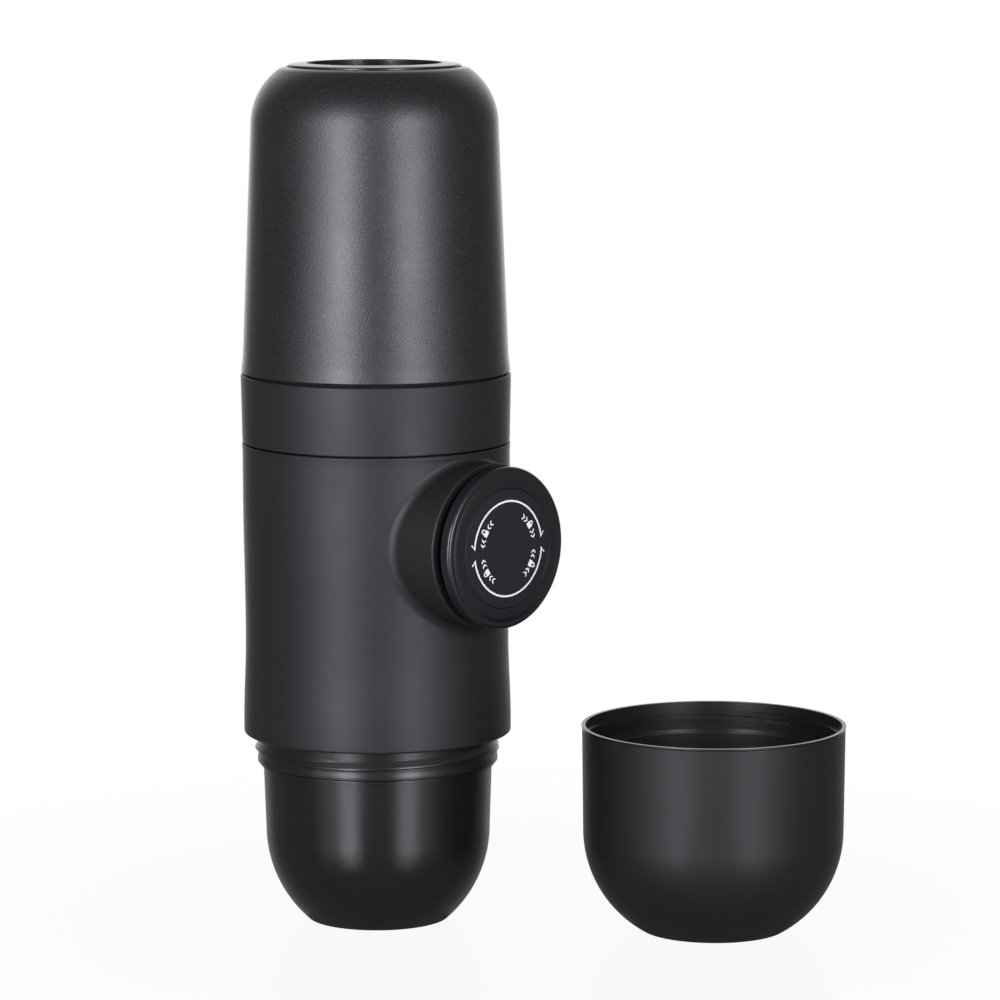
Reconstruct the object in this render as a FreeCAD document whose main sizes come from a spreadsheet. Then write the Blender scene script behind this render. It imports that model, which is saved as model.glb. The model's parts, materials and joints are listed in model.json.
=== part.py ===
"""Handheld manual espresso maker with a side piston pump, and its loose cup.

The device stands on the foot of its outlet head. The origin is the centre of that
foot, +Z runs up the device and the cup stands beside it. Lengths are in millimetres.
The pump lies across the device: its direction is turned by knob_azimuth from -Y.
"""
import FreeCAD, Part
import Sketcher
import math
import os
from types import SimpleNamespace

Vector = FreeCAD.Vector

# Driving dimensions: alias, value, what it measures.
DRIVING = [
    # Outlet head, the glossy dome that the device stands on
    ("head_foot_radius", 15.6, "outer radius of the foot ring"),
    ("head_foot_ring", 1.9, "width of the foot ring"),
    ("head_foot_recess", 2.6, "height of the hollow under the foot"),
    ("head_recess_draft", 0.57, "draft of that hollow's wall"),
    ("head_floor", 2.6, "thickness of the head's floor"),
    ("head_dome_bulge", 27.7, "radius of the dome's outline"),
    ("head_draft", 0.45, "how far the wall widens from the dome to the flange"),
    ("head_dome_height", 21.0, "height where the dome meets its wall"),
    ("head_height", 34.0, "height of the head's wall, up to its flange"),
    ("head_flange_step", 0.25, "how far the flange stands out over the neck"),
    ("head_flange_overhang", 1.4, "how far the flange stands out over the wall"),
    ("head_flange_chamfer", 1.4, "height of the chamfer under the flange"),
    ("head_flange", 0.6, "thickness of the flange's edge"),
    ("head_wall", 2.3, "wall thickness of the head"),
    ("head_shoulder", 2.2, "thickness of the shoulder inside the flange"),
    ("head_collar_wall", 2.0, "wall of the screwed collar"),
    ("head_collar_reach", 8.0, "height of the screwed collar over the flange"),
    ("thread_clearance", 0.4, "radial play of the screwed joints"),
    ("nozzle_radius", 3.1, "outer radius of the nozzle stem"),
    ("nozzle_bore", 1.5, "radius of the nozzle bore"),
    ("nozzle_tip_wall", 0.96, "wall of the nozzle's tip"),
    ("nozzle_flange", 5.2, "radius of the nozzle flange"),
    ("nozzle_lip", 0.8, "thickness of the nozzle flange"),
    ("nozzle_tip_height", 0.9, "height of the nozzle tip over the foot"),
    # Filter basket
    ("basket_play", 0.5, "radial play of the basket in the head's collar"),
    ("basket_depth", 21.5, "depth of the basket under its rim"),
    ("basket_sheet", 0.5, "sheet thickness"),
    ("basket_corner", 2.0, "outer corner radius"),
    ("basket_rim_inset", 0.6, "gap from the basket rim to the neck bore"),
    # Threaded neck under the body
    ("neck_inset", 3.07, "how far the neck lies in from the body's lower edge"),
    ("neck_wall", 4.3, "wall of the neck between the thread rings"),
    ("neck_edge", 0.25, "chamfer of the lower edge"),
    ("neck_length", 6.8, "length of the neck that shows under the body"),
    ("neck_thread_height", 0.65, "height of the cup's thread over the core"),
    ("neck_ring_drop", 3.6, "distance of the thread ring under the body"),
    ("neck_ring_crest", 0.5, "width of the ring's crest"),
    ("neck_ring_flank", 0.6, "height of each flank of the ring"),
    ("neck_flange", 2.0, "thickness of the flange inside the body"),
    ("neck_step", 1.25, "step from the flange in to the top of the neck"),
    ("neck_rise", 2.2, "height of the neck over its flange"),
    ("neck_lip", 2.0, "thickness of the lip over the shower plate"),
    # Group gasket and shower plate
    ("gasket_step", 0.1, "step from the basket's wall out to the gasket's bore"),
    ("gasket_play", 0.2, "play of the group gasket in the neck"),
    ("gasket_rest", 0.1, "gap under the gasket"),
    ("shower_play", 0.4, "radial play of the shower plate in the gasket"),
    ("shower_overlap", 1.0, "how far the neck's lip reaches over the plate"),
    ("shower_sheet", 0.8, "thickness of the shower plate"),
    ("shower_hole", 0.6, "radius of a shower hole"),
    ("shower_ring_step", 4.4, "spacing of the three rings of holes"),
    ("shower_screw_head", 3.6, "head radius of the shower screw"),
    ("shower_screw_head_height", 1.3, "head height of the shower screw"),
    ("shower_screw_edge", 0.5, "chamfer of that head"),
    ("shower_screw_shaft", 1.9, "shaft radius of the shower screw"),
    ("shower_screw_length", 9.0, "shaft length of the shower screw"),
    # Body shell
    ("body_length", 65.8, "height of the body shell"),
    ("body_radius", 29.97, "outer radius at the lower edge"),
    ("body_waist_depth", 0.45, "how far the waist draws in"),
    ("body_top_inset", 0.02, "how far the top lies in from the lower edge"),
    ("body_waist_start", 8.2, "height over the lower edge where the waist begins"),
    ("body_waist_height", 22.2, "height of the waist over the lower edge"),
    ("body_waist_end", 55.2, "height over the lower edge where the waist ends"),
    ("body_bead", 0.12, "how far the top bead stands out"),
    ("body_bead_height", 1.4, "height of the top bead"),
    ("body_edge", 0.9, "rounding of the lower edge"),
    ("body_wall", 2.07, "wall of the shell at its lower edge"),
    ("body_lip", 2.0, "height of the inner lip at the bottom"),
    ("body_lip_gap", 0.15, "play between lip and neck"),
    # Boss of the body around the piston
    ("boss_headroom", 1.95, "height of the body over the top of the boss"),
    ("knob_azimuth", 45.7, "angle of the pump's direction from -Y, in degrees"),
    ("boss_wall", 2.05, "wall of the boss"),
    ("boss_room", 1.8, "radial room round the pump housing in the boss"),
    ("boss_reach", 36.0, "distance of the boss rim from the device axis"),
    ("boss_blend", 1.5, "fillet between boss and body"),
    ("boss_rim_round", 0.35, "rounding of the boss rim"),
    ("boss_overrun", 3.7, "how far the boss bore runs past the shell's inside"),
    # Pump block
    ("deck_thickness", 5.0, "thickness of the two decks"),
    ("deck_root", 1.25, "depth of the pillars' feet in the decks"),
    ("shell_play", 0.3, "radial play of what stands inside the shell"),
    ("deck_cover", 0.2, "height of the upper deck over the pump housing"),
    ("pump_corner_gap", 0.76, "gap between the housing's rear rim and the shell"),
    ("pump_front_inset", 3.7, "distance of the pump's front face inside the shell's bore"),
    ("pump_wall", 3.1, "wall of the pump housing"),
    ("pump_back_wall", 2.5, "thickness of the housing's rear wall"),
    ("fit_gap", 0.1, "play of pieces that slide into each other"),
    ("pillar_radius", 4.0, "radius of the side pillars"),
    ("pillar_offset", 17.0, "distance of the side pillars from the axis"),
    ("tower_radius", 4.6, "radius of the outlet tower"),
    ("port_inset", 4.0, "distance of the ports from the cylinder's rear end"),
    ("port_radius", 1.5, "radius of the ports"),
    ("hub_radius", 5.0, "radius of the shower screw's hub"),
    ("hub_height", 9.0, "height of the shower screw's hub over the lower deck's underside"),
    # Valves
    ("valve_flange", 2.7, "radius of a valve flange"),
    ("valve_flange_height", 0.8, "thickness of a valve flange"),
    ("valve_bill", 1.7, "radius of a valve's bill"),
    ("valve_length", 2.6, "length of a valve"),
    ("valve_tip", 0.7, "radius of the bill's tip"),
    ("valve_taper", 1.1, "length of the bill's taper"),
    # Pump cylinder, piston and gland
    ("cylinder_bore", 10.0, "bore radius of the pump cylinder"),
    ("cylinder_wall", 1.2, "wall of the pump cylinder"),
    ("stroke", 16.0, "travel of the piston"),
    ("stroke_margin", 0.2, "play left at the end of the stroke"),
    ("spring_space", 7.0, "length left for the spring behind the piston"),
    ("piston_length", 6.0, "length of the piston head"),
    ("piston_play", 0.3, "radial play of the piston head"),
    ("seal_play", 0.08, "radial play of the piston seal"),
    ("seal_width", 2.2, "width of the piston seal"),
    ("seal_side_play", 0.2, "side play of the seal in its groove"),
    ("seal_depth", 2.1, "depth of the seal groove"),
    ("seal_edge", 0.44, "chamfer of the seal's lips"),
    ("rod_play", 0.1, "radial play of the rod in its guide"),
    ("stud_radius", 3.5, "radius of the rod's stud in the piston head"),
    ("stud_length", 4.5, "length of that stud"),
    ("gland_flange", 3.0, "thickness of the gland flange"),
    ("gland_sleeve_wall", 2.3, "wall of the gland sleeve"),
    ("gland_edge", 0.35, "chamfer of the gland flange"),
    ("gland_screw_inset", 1.55, "distance of the gland screws from the cylinder"),
    ("gland_screw_head", 1.5, "head radius of the gland screws"),
    ("gland_screw_head_height", 1.2, "head height of the gland screws"),
    ("gland_screw_shaft", 0.85, "shaft radius of the gland screws"),
    ("gland_screw_length", 8.0, "shaft length of the gland screws"),
    ("screw_play", 0.1, "radial play round the screws"),
    ("spring_wire", 1.0, "width of the spring's square wire"),
    ("spring_play", 1.1, "radial play of the spring in the cylinder"),
    ("spring_turns", 4.0, "turns of the spring"),
    # Knob
    ("knob_inset", 0.35, "how far the knob lies in from the boss"),
    ("knob_gap", 2.1, "gap between the boss rim and the knob"),
    ("knob_depth", 3.2, "depth of the knob from its rear rim to its face"),
    ("knob_rim_drop", 1.05, "how far the crowned front has dropped at the corner"),
    ("knob_corner", 1.1, "corner radius of the front"),
    ("knob_rear_round", 0.4, "rounding of the rear rim"),
    ("skirt_play", 0.6, "radial play of the knob's skirt in the boss"),
    ("knob_skirt_wall", 1.6, "wall of the skirt"),
    ("skirt_clearance", 0.6, "gap between the skirt and the gland's screw heads"),
    ("knob_web", 2.8, "thickness of the knob's web"),
    ("knob_web_gap", 0.1, "gap between the web and the rod's shoulder"),
    ("web_inset", 1.0, "distance of the rod's shoulder inside the boss rim"),
    ("rod_spigot_radius", 4.0, "radius of the rod's spigot"),
    ("knob_screw_head", 5.2, "head radius of the knob screw"),
    ("knob_screw_head_height", 1.4, "head height of the knob screw"),
    ("knob_screw_shaft", 1.2, "shaft radius of the knob screw"),
    ("knob_screw_length", 8.0, "shaft length of the knob screw"),
    ("knob_rim", 4.7, "width of the knob's rim round the face disc"),
    ("face_thickness", 1.0, "thickness of the face disc"),
    ("face_crown", 0.3, "crown of the face disc"),
    ("face_ledge", 1.2, "width of the ledge under the face disc"),
    ("face_play", 0.06, "radial play of the face disc"),
    # Collar band between body and tank
    ("band_length", 15.4, "height of the collar band"),
    ("band_flare", 0.3, "how far the band widens towards the tank"),
    ("band_reveal", 0.4, "size of the shadow gap under the band"),
    ("band_top_round", 0.5, "chamfer of the upper edge"),
    ("band_skin", 4.6, "thickness of the band's wall"),
    ("band_ledge", 2.5, "thickness of the ledge under the tank"),
    ("collar_floor", 4.0, "thickness of the water floor"),
    ("collar_port", 1.8, "radius of the water inlet"),
    ("tank_neck_inset", 5.9, "distance of the tank's neck inside the shell's bore"),
    ("tank_neck_wall", 3.0, "wall of that neck"),
    ("tank_neck_reach", 7.5, "height of that neck over the ledge"),
    ("tower_screw_angle", 55.0, "angle of the frame screws from the pump's direction"),
    ("screw_tower_radius", 2.6, "radius of the screw towers"),
    ("frame_screw_head", 2.1, "head radius of the frame screws"),
    ("frame_screw_head_height", 1.6, "head height of the frame screws"),
    ("frame_screw_shaft", 1.2, "shaft radius of the frame screws"),
    ("frame_screw_length", 13.0, "shaft length of the frame screws"),
    # Water tank
    ("tank_gasket_thickness", 0.6, "thickness of the tank gasket"),
    ("tank_gasket_inset", 1.05, "how far the gasket lies in from the band"),
    ("tank_step", 0.55, "step from the band in to the tank"),
    ("tank_flare", 0.4, "how far the lower edge flares out"),
    ("tank_flare_height", 3.4, "height of the flare"),
    ("tank_taper", 2.1, "how far the tank narrows up to the shoulder"),
    ("tank_shoulder_height", 54.8, "height of the shoulder over the tank's lower edge"),
    ("tank_shoulder_round", 15.3, "outline radius of the shoulder"),
    ("tank_mouth_radius", 19.4, "radius of the opening for the end ring"),
    ("tank_wall", 2.1, "wall of the tank shell"),
    ("ring_flange", 1.9, "thickness of the end ring's flange"),
    ("ring_seat_width", 2.1, "width of the seat under that flange"),
    ("ring_seat", 1.5, "thickness of that seat"),
    ("ring_play", 0.2, "radial play of the end ring"),
    ("ring_width", 4.3, "width of the end ring from the mouth to its bore"),
    ("ring_skirt_wall", 1.5, "wall of the end ring's skirt"),
    ("ring_edge_drop", 0.35, "how far the ring's outer edge lies below the tank's lip"),
    ("ring_crown", 0.25, "how far the ring's inner edge stands over the tank's lip"),
    ("ring_crown_bulge", 9.0, "outline radius of the ring's crown"),
    ("recess_depth", 7.0, "depth of the recess inside the end ring"),
    ("liner_wall", 2.0, "wall of the tank liner"),
    ("liner_top_radius", 20.0, "inner radius at the liner's top"),
    ("liner_flange", 2.0, "thickness of the liner's flange"),
    ("liner_thread_extra", 0.9, "height of the liner's thread over the collar's neck"),
    ("liner_gap", 0.15, "play between liner flange and shell"),
    ("air_valve_hole", 1.6, "radius of the air valve's hole"),
    ("air_valve_stem", 1.5, "radius of the air valve's stem"),
    ("air_valve_cap", 4.2, "radius of the air valve's cap"),
    ("air_valve_cap_height", 1.0, "height of the air valve's cap"),
    ("air_valve_cap_draft", 0.4, "how far the cap narrows upwards"),
    ("air_valve_cap_side", 0.6, "height of the cap's side"),
    ("air_valve_bulb", 2.1, "radius of the air valve's bulb"),
    ("air_valve_bulb_height", 1.5, "height of the bulb"),
    ("air_valve_bulb_side", 0.4, "height of the bulb's side"),
    ("air_valve_bulb_tip", 1.3, "radius of the bulb's tip"),
    # Cup
    ("cup_gap", 15.86, "gap between the body and the cup along X"),
    ("cup_y", -12.6, "place of the cup along Y"),
    ("cup_foot_radius", 15.9, "outer radius of the cup's foot"),
    ("cup_foot_ring", 1.8, "width of the foot ring"),
    ("cup_foot_recess", 1.2, "height of the hollow under the foot"),
    ("cup_recess_draft", 0.36, "draft of that hollow's wall"),
    ("cup_bulge", 25.9, "outline radius of the cup's lower part"),
    ("cup_draft", 0.26, "how much narrower the wall is at its foot"),
    ("cup_wall_height", 22.6, "height where that outline meets the wall"),
    ("cup_rim_wall", 1.22, "wall of the rim at the thread"),
    ("cup_lip", 0.15, "how far the rim's lip stands out"),
    ("cup_height", 46.2, "height of the cup"),
    ("cup_lip_height", 0.9, "height of the rim's lip"),
    ("cup_thread_room", 0.65, "radial room for the neck's thread in the mouth"),
    ("cup_mouth_flare", 0.4, "inner chamfer of the rim"),
    ("cup_thread_depth", 7.0, "depth of the threaded part"),
    ("cup_ledge", 1.5, "width of the ledge below the thread"),
    ("cup_inner_taper", 0.15, "how much narrower it is at the foot of the wall"),
    ("cup_floor", 2.0, "thickness of the cup's floor"),
]

document = FreeCAD.newDocument("EspressoMaker")
sheet = document.addObject("Spreadsheet::Sheet", "Sizes")
for row, (alias, value, _) in enumerate(DRIVING, start=1):
    sheet.set(f"A{row}", str(value))
    sheet.setAlias(f"A{row}", alias)
document.recompute()


class Size:
    """A length that carries its number and the spreadsheet formula behind it."""

    def __init__(self, number, formula):
        self.number = float(number)
        self.formula = formula

    def joined(self, sign, other, number):
        """Return the Size of this one, a sign and another size or number."""
        text = other.formula if isinstance(other, Size) else str(other)
        return Size(number, f"({self.formula} {sign} {text})")

    def __add__(self, other):
        return self.joined("+", other, self.number + number_of(other))

    def __sub__(self, other):
        return self.joined("-", other, self.number - number_of(other))

    def __mul__(self, other):
        return self.joined("*", other, self.number * number_of(other))

    def __truediv__(self, other):
        return self.joined("/", other, self.number / number_of(other))


def number_of(value):
    """Return the plain number of a Size or of a number."""
    return value.number if isinstance(value, Size) else float(value)


def root(size):
    """Return the square root of a Size."""
    return Size(math.sqrt(size.number), f"sqrt({size.formula})")


def arc_reach(radius, height):
    """Return how far a circle of that radius reaches sideways at that height off its centre."""
    return root(radius * radius - height * height)


d = SimpleNamespace(**{alias: Size(sheet.get(alias), f"Sizes.{alias}") for alias, _, _ in DRIVING})
ZERO = Size(0, "0")

# Heights from the foot up to the top of the neck
head_floor_top = d.head_foot_recess + d.head_floor
head_top = d.head_height + d.head_flange_chamfer + d.head_flange
collar_top = head_top + d.head_collar_reach
basket_bottom = collar_top - d.basket_depth
body_bottom = head_top + d.neck_length
neck_ring_height = body_bottom - d.neck_ring_drop
flange_bottom = body_bottom + d.body_lip
flange_top = flange_bottom + d.neck_flange
neck_top = flange_top + d.neck_rise
gasket_top = neck_top - d.neck_lip
lower_deck_top = neck_top + d.deck_thickness

# Radii of the pump, from the cylinder out to the knob
liner_radius = d.cylinder_bore + d.cylinder_wall
pump_housing_radius = liner_radius + d.fit_gap + d.pump_wall
boss_bore = pump_housing_radius + d.boss_room
boss_radius = boss_bore + d.boss_wall
knob_radius = boss_radius - d.knob_inset
knob_skirt_radius = boss_bore - d.skirt_play
face_radius = knob_radius - d.knob_rim
rod_radius = d.cylinder_bore - d.fit_gap - d.gland_sleeve_wall - d.rod_play
gland_screw_pitch = liner_radius + d.fit_gap + d.gland_screw_inset
spring_radius = d.cylinder_bore - d.spring_wire * 0.5 - d.spring_play

# Heights from the pump up to the tank's shoulder
body_top = body_bottom + d.body_length
knob_height = body_top - d.boss_headroom - boss_radius
deck_top = knob_height + pump_housing_radius + d.deck_cover
upper_deck_bottom = deck_top - d.deck_thickness
band_top = body_top + d.band_length
tank_bottom = band_top + d.tank_gasket_thickness
tank_shoulder = tank_bottom + d.tank_shoulder_height

# Radii of the body, of what stands inside it and of the tank
body_waist_radius = d.body_radius - d.body_waist_depth
body_top_radius = d.body_radius - d.body_top_inset
body_inner_radius = d.body_radius - d.body_wall
neck_flange_radius = body_inner_radius - d.body_lip_gap
neck_head_radius = neck_flange_radius - d.neck_step
deck_radius = body_inner_radius - d.shell_play
spigot_radius = deck_radius
band_radius = body_top_radius
band_top_radius = band_radius + d.band_flare
tank_gasket_radius = band_top_radius - d.tank_gasket_inset
tank_radius = band_top_radius - d.tank_step
tank_shoulder_radius = tank_radius - d.tank_taper
tank_neck_radius = body_inner_radius - d.tank_neck_inset
ring_bore = d.tank_mouth_radius - d.ring_width

# Radii of the neck, the head, the group and the cup
neck_core_radius = d.body_radius - d.neck_inset
neck_bore = neck_core_radius - d.neck_wall
head_flange_radius = neck_core_radius + d.head_flange_step
head_top_radius = head_flange_radius - d.head_flange_overhang
head_dome_radius = head_top_radius - d.head_draft
head_collar_radius = neck_bore - d.thread_clearance
neck_ring_radius = neck_core_radius + d.neck_thread_height
basket_radius = head_collar_radius - d.head_collar_wall - d.basket_play
gasket_inner_radius = basket_radius + d.gasket_step
shower_radius = gasket_inner_radius - d.shower_play
neck_lip_radius = shower_radius - d.shower_overlap
screw_pitch = (neck_bore + neck_head_radius) * 0.5
cup_mouth_radius = neck_ring_radius + d.cup_thread_room
cup_rim_radius = cup_mouth_radius + d.cup_rim_wall
cup_wall_radius = cup_rim_radius - d.cup_draft
cup_inner_radius = cup_mouth_radius - d.cup_ledge
cup_x = d.body_radius + d.cup_gap + cup_rim_radius + d.cup_lip

# Distances from the device axis along the pump
pump_front = body_inner_radius - d.pump_front_inset
pump_rear = arc_reach(body_inner_radius - d.pump_corner_gap, pump_housing_radius)
port_offset = pump_rear - d.pump_back_wall - d.port_inset
boss_depth = arc_reach(body_inner_radius, boss_bore) - d.boss_overrun
rod_shoulder = d.boss_reach - d.web_inset
knob_rear = d.boss_reach + d.knob_gap
knob_front = knob_rear + d.knob_depth

# Distances along the pump, counted forward from the housing's rear face
bore_end = d.pump_back_wall
piston_rear = bore_end + d.spring_space
piston_front = piston_rear + d.piston_length
sleeve_rear = piston_front + d.stroke + d.stroke_margin
housing_front = pump_rear + pump_front
flange_front = housing_front + d.gland_flange
skirt_rear = flange_front + d.gland_screw_head_height + d.skirt_clearance
port_station = pump_rear - port_offset
spigot_end = pump_rear + rod_shoulder + d.knob_web_gap + d.knob_web + d.knob_web_gap

# Frames: the device's own, one turned with the pump, and one lying along the pump
TURN = FreeCAD.Rotation(Vector(0, 0, 1), d.knob_azimuth.number)
DEVICE = FreeCAD.Placement()
TURNED = FreeCAD.Placement(Vector(), TURN)
PUMP_DIRECTION = TURN.multVec(Vector(0, -1, 0))
PUMP_START = Vector(0, 0, knob_height.number) - PUMP_DIRECTION * pump_rear.number
ALONG_PUMP = FreeCAD.Placement(PUMP_START, TURN.multiply(FreeCAD.Rotation(Vector(1, 0, 0), 90)))

nodes = []


# ---------------------------------------------------------------- building tools

def new_body(label, placement=DEVICE):
    """Add an empty body, which becomes one node."""
    body = document.addObject("PartDesign::Body", label)
    body.Label = label
    body.Placement = placement
    nodes.append(body)
    return body


def origin_plane(body, role):
    """Return one of the body's own origin planes."""
    return next(item for item in body.Origin.OriginFeatures if item.Role == role)


def new_sketch(body, name, role, offset=ZERO):
    """Add a sketch on an origin plane, moved along its normal by offset."""
    sketch = body.newObject("Sketcher::SketchObject", name)
    sketch.AttachmentSupport = [(origin_plane(body, role), "")]
    sketch.MapMode = "FlatFace"
    sketch.setExpression("AttachmentOffset.Base.z", offset.formula)
    return sketch


def fix_point(sketch, geometry, point, x, y):
    """Hold a sketch point at x and y, which follow the spreadsheet."""
    for size, kind, axis in ((x, "DistanceX", -2), (y, "DistanceY", -1)):
        if size.number == 0:
            sketch.addConstraint(Sketcher.Constraint("PointOnObject", geometry, point, axis))
            continue
        index = sketch.addConstraint(
            Sketcher.Constraint(kind, -1, 1, geometry, point, size.number))
        sketch.setExpression(f"Constraints[{index}]", size.formula)


def arc_between(start, end, radius, centre_on_left):
    """Return the arc of that radius from start to end, bulging away from its centre."""
    chord = end - start
    middle = (start + end) * 0.5
    left = Vector(-chord.y, chord.x, 0).normalize()
    rise = math.sqrt(radius ** 2 - (chord.Length / 2) ** 2)
    centre = middle + left * (rise if centre_on_left else -rise)
    first, last = (start, end) if centre_on_left else (end, start)
    angles = [math.atan2(point.y - centre.y, point.x - centre.x) for point in (first, last)]
    return Part.ArcOfCircle(Part.Circle(centre, Vector(0, 0, 1), radius), *angles)


def draw_outline(sketch, corners):
    """Draw a closed outline through the corners.

    A corner is (x, y), or (x, y, radius, side) where the run to the next corner is an
    arc whose centre lies on that side of the way along the outline, "left" or "right".
    """
    count = len(corners)
    places = [Vector(corner[0].number, corner[1].number, 0) for corner in corners]
    ends = []
    for index, corner in enumerate(corners):
        start, end = places[index], places[(index + 1) % count]
        if len(corner) == 2:
            sketch.addGeometry(Part.LineSegment(start, end), False)
            ends.append((1, 2))
            continue
        radius, side = corner[2:]
        sketch.addGeometry(arc_between(start, end, radius.number, side == "left"), False)
        ends.append((1, 2) if side == "left" else (2, 1))
    for index in range(count):
        after = (index + 1) % count
        sketch.addConstraint(
            Sketcher.Constraint("Coincident", index, ends[index][1], after, ends[after][0]))
    for index, corner in enumerate(corners):
        fix_point(sketch, index, ends[index][0], corner[0], corner[1])
        if len(corner) == 4:
            held = sketch.addConstraint(Sketcher.Constraint("Radius", index, corner[2].number))
            sketch.setExpression(f"Constraints[{held}]", corner[2].formula)


def draw_circle(sketch, x, y, radius):
    """Draw a circle whose centre and radius follow the spreadsheet."""
    centre = Vector(x.number, y.number, 0)
    index = sketch.addGeometry(Part.Circle(centre, Vector(0, 0, 1), radius.number), False)
    fix_point(sketch, index, 3, x, y)
    held = sketch.addConstraint(Sketcher.Constraint("Radius", index, radius.number))
    sketch.setExpression(f"Constraints[{held}]", radius.formula)


def volume_of(body):
    """Return the body's volume, 0 while it is still empty."""
    return 0.0 if body.Shape.isNull() else body.Shape.Volume


def check_change(body, name, before, cut):
    """Stop the build if a feature added where it should cut, or the other way round."""
    if (volume_of(body) >= before) == cut:
        raise RuntimeError(f"{name} changes the volume of {body.Label} the wrong way")


def revolve(body, name, corners, cut=False):
    """Turn an outline of radius and height round the body's Z axis."""
    before = volume_of(body)
    sketch = new_sketch(body, name + "_outline", "XZ_Plane")
    draw_outline(sketch, corners)
    turned = body.newObject("PartDesign::Groove" if cut else "PartDesign::Revolution", name)
    turned.Profile = sketch
    turned.ReferenceAxis = (sketch, ["V_Axis"])
    turned.Angle = 360
    document.recompute()
    check_change(body, name, before, cut)


def extrude(body, name, circles, length, role="XY_Plane", offset=ZERO, cut=False):
    """Pad circles along their plane's normal, or pocket them against it."""
    before = volume_of(body)
    sketch = new_sketch(body, name + "_outline", role, offset)
    for x, y, radius in circles:
        draw_circle(sketch, x, y, radius)
    feature = body.newObject("PartDesign::Pocket" if cut else "PartDesign::Pad", name)
    feature.Profile = sketch
    feature.setExpression("Length", length.formula)
    document.recompute()
    check_change(body, name, before, cut)
    return feature


def ring_of_holes(body, name, hole, count):
    """Repeat a hole round the body's Z axis."""
    pattern = body.newObject("PartDesign::PolarPattern", name)
    pattern.Originals = [hole]
    pattern.Axis = (origin_plane(body, "Z_Axis"), [""])
    pattern.Angle = 360
    pattern.Occurrences = count
    body.Tip = pattern
    document.recompute()


def round_edges(body, name, wanted, radius):
    """Fillet the edges of the body that the test picks out."""
    base = body.Tip
    picked = [f"Edge{index}" for index, edge in enumerate(base.Shape.Edges, start=1)
              if wanted(edge)]
    fillet = body.newObject("PartDesign::Fillet", name)
    fillet.Base = (base, picked)
    fillet.setExpression("Radius", radius.formula)
    document.recompute()


def turned_piece(label, corners, placement=DEVICE):
    """Add a body that is one turned outline."""
    body = new_body(label, placement)
    revolve(body, label + "_turned", corners)
    return body


def screw_outline(head_radius, head_height, shaft_radius, length, start=ZERO):
    """Return the outline of a screw, from its shaft's end at start up to its head."""
    return [
        (ZERO, start),
        (shaft_radius * 0.5, start),
        (shaft_radius, start + shaft_radius * 0.5),
        (shaft_radius, start + length),
        (head_radius, start + length),
        (head_radius, start + length + head_height * 0.6),
        (head_radius * 0.8, start + length + head_height),
        (ZERO, start + length + head_height),
    ]


def screw_group(label, outline_of_one, placements):
    """Add one node that holds a copy of the same screw at each placement."""
    wire = Part.makePolygon(
        [Vector(x.number, 0, y.number) for x, y in outline_of_one + outline_of_one[:1]])
    screw = Part.Face(wire).revolve(Vector(), Vector(0, 0, 1), 360)
    group = document.addObject("Part::Feature", label)
    group.Label = label
    group.Shape = Part.makeCompound([screw.transformed(place.Matrix) for place in placements])
    nodes.append(group)
    return group


def gland_screw_spots():
    """Return the three gland screw places round the pump's axis, the first one on top."""
    angles = [math.radians(degrees) for degrees in (90, 210, 330)]
    return [(gland_screw_pitch * round(math.cos(angle), 12),
             gland_screw_pitch * round(math.sin(angle), 12)) for angle in angles]


def frame_screw_spots():
    """Return the four frame screw places in the turned frame, as signed x and y."""
    half = f"{d.tower_screw_angle.formula} * 1 deg"
    angle = math.radians(d.tower_screw_angle.number)
    pitch = screw_pitch
    side = Size(pitch.number * math.sin(angle), f"({pitch.formula} * sin({half}))")
    ahead = Size(pitch.number * math.cos(angle), f"({pitch.formula} * cos({half}))")
    return [(side * x, ahead * y) for x in (1, -1) for y in (1, -1)]


# ---------------------------------------------------------------- outlet head

def outlet_head():
    """Dome, foot, top flange and screwed collar in one moulding."""
    inner_bulge = d.head_dome_bulge - d.head_wall
    centre = head_dome_radius - d.head_dome_bulge
    inner_foot = centre + arc_reach(inner_bulge, d.head_dome_height - head_floor_top)
    foot_inner = d.head_foot_radius - d.head_foot_ring
    collar_inner = head_collar_radius - d.head_collar_wall
    shoulder_bottom = d.head_height - d.head_shoulder
    nozzle_hole = d.nozzle_radius + d.fit_gap
    turned_piece("outlet_head", [
        (foot_inner, ZERO),
        (d.head_foot_radius, ZERO, d.head_dome_bulge, "left"),
        (head_dome_radius, d.head_dome_height),
        (head_top_radius, d.head_height),
        (head_flange_radius, d.head_height + d.head_flange_chamfer),
        (head_flange_radius, head_top),
        (head_collar_radius, head_top),
        (head_collar_radius, collar_top),
        (collar_inner, collar_top),
        (collar_inner, shoulder_bottom),
        (head_top_radius - d.head_wall, shoulder_bottom - d.head_wall),
        (head_dome_radius - d.head_wall, d.head_dome_height, inner_bulge, "right"),
        (inner_foot, head_floor_top),
        (nozzle_hole, head_floor_top),
        (nozzle_hole, d.head_foot_recess),
        (foot_inner - d.head_recess_draft, d.head_foot_recess),
    ])


def outlet_nozzle():
    """Spout in the middle of the head's floor, with a flange inside."""
    top = head_floor_top + d.nozzle_lip
    turned_piece("outlet_nozzle", [
        (d.nozzle_bore, d.nozzle_tip_height),
        (d.nozzle_bore + d.nozzle_tip_wall, d.nozzle_tip_height),
        (d.nozzle_radius, d.nozzle_tip_height + d.nozzle_tip_wall),
        (d.nozzle_radius, head_floor_top),
        (d.nozzle_flange, head_floor_top),
        (d.nozzle_flange, top),
        (d.nozzle_bore + d.nozzle_tip_wall, top),
        (d.nozzle_bore, top - d.nozzle_tip_wall),
    ])


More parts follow.
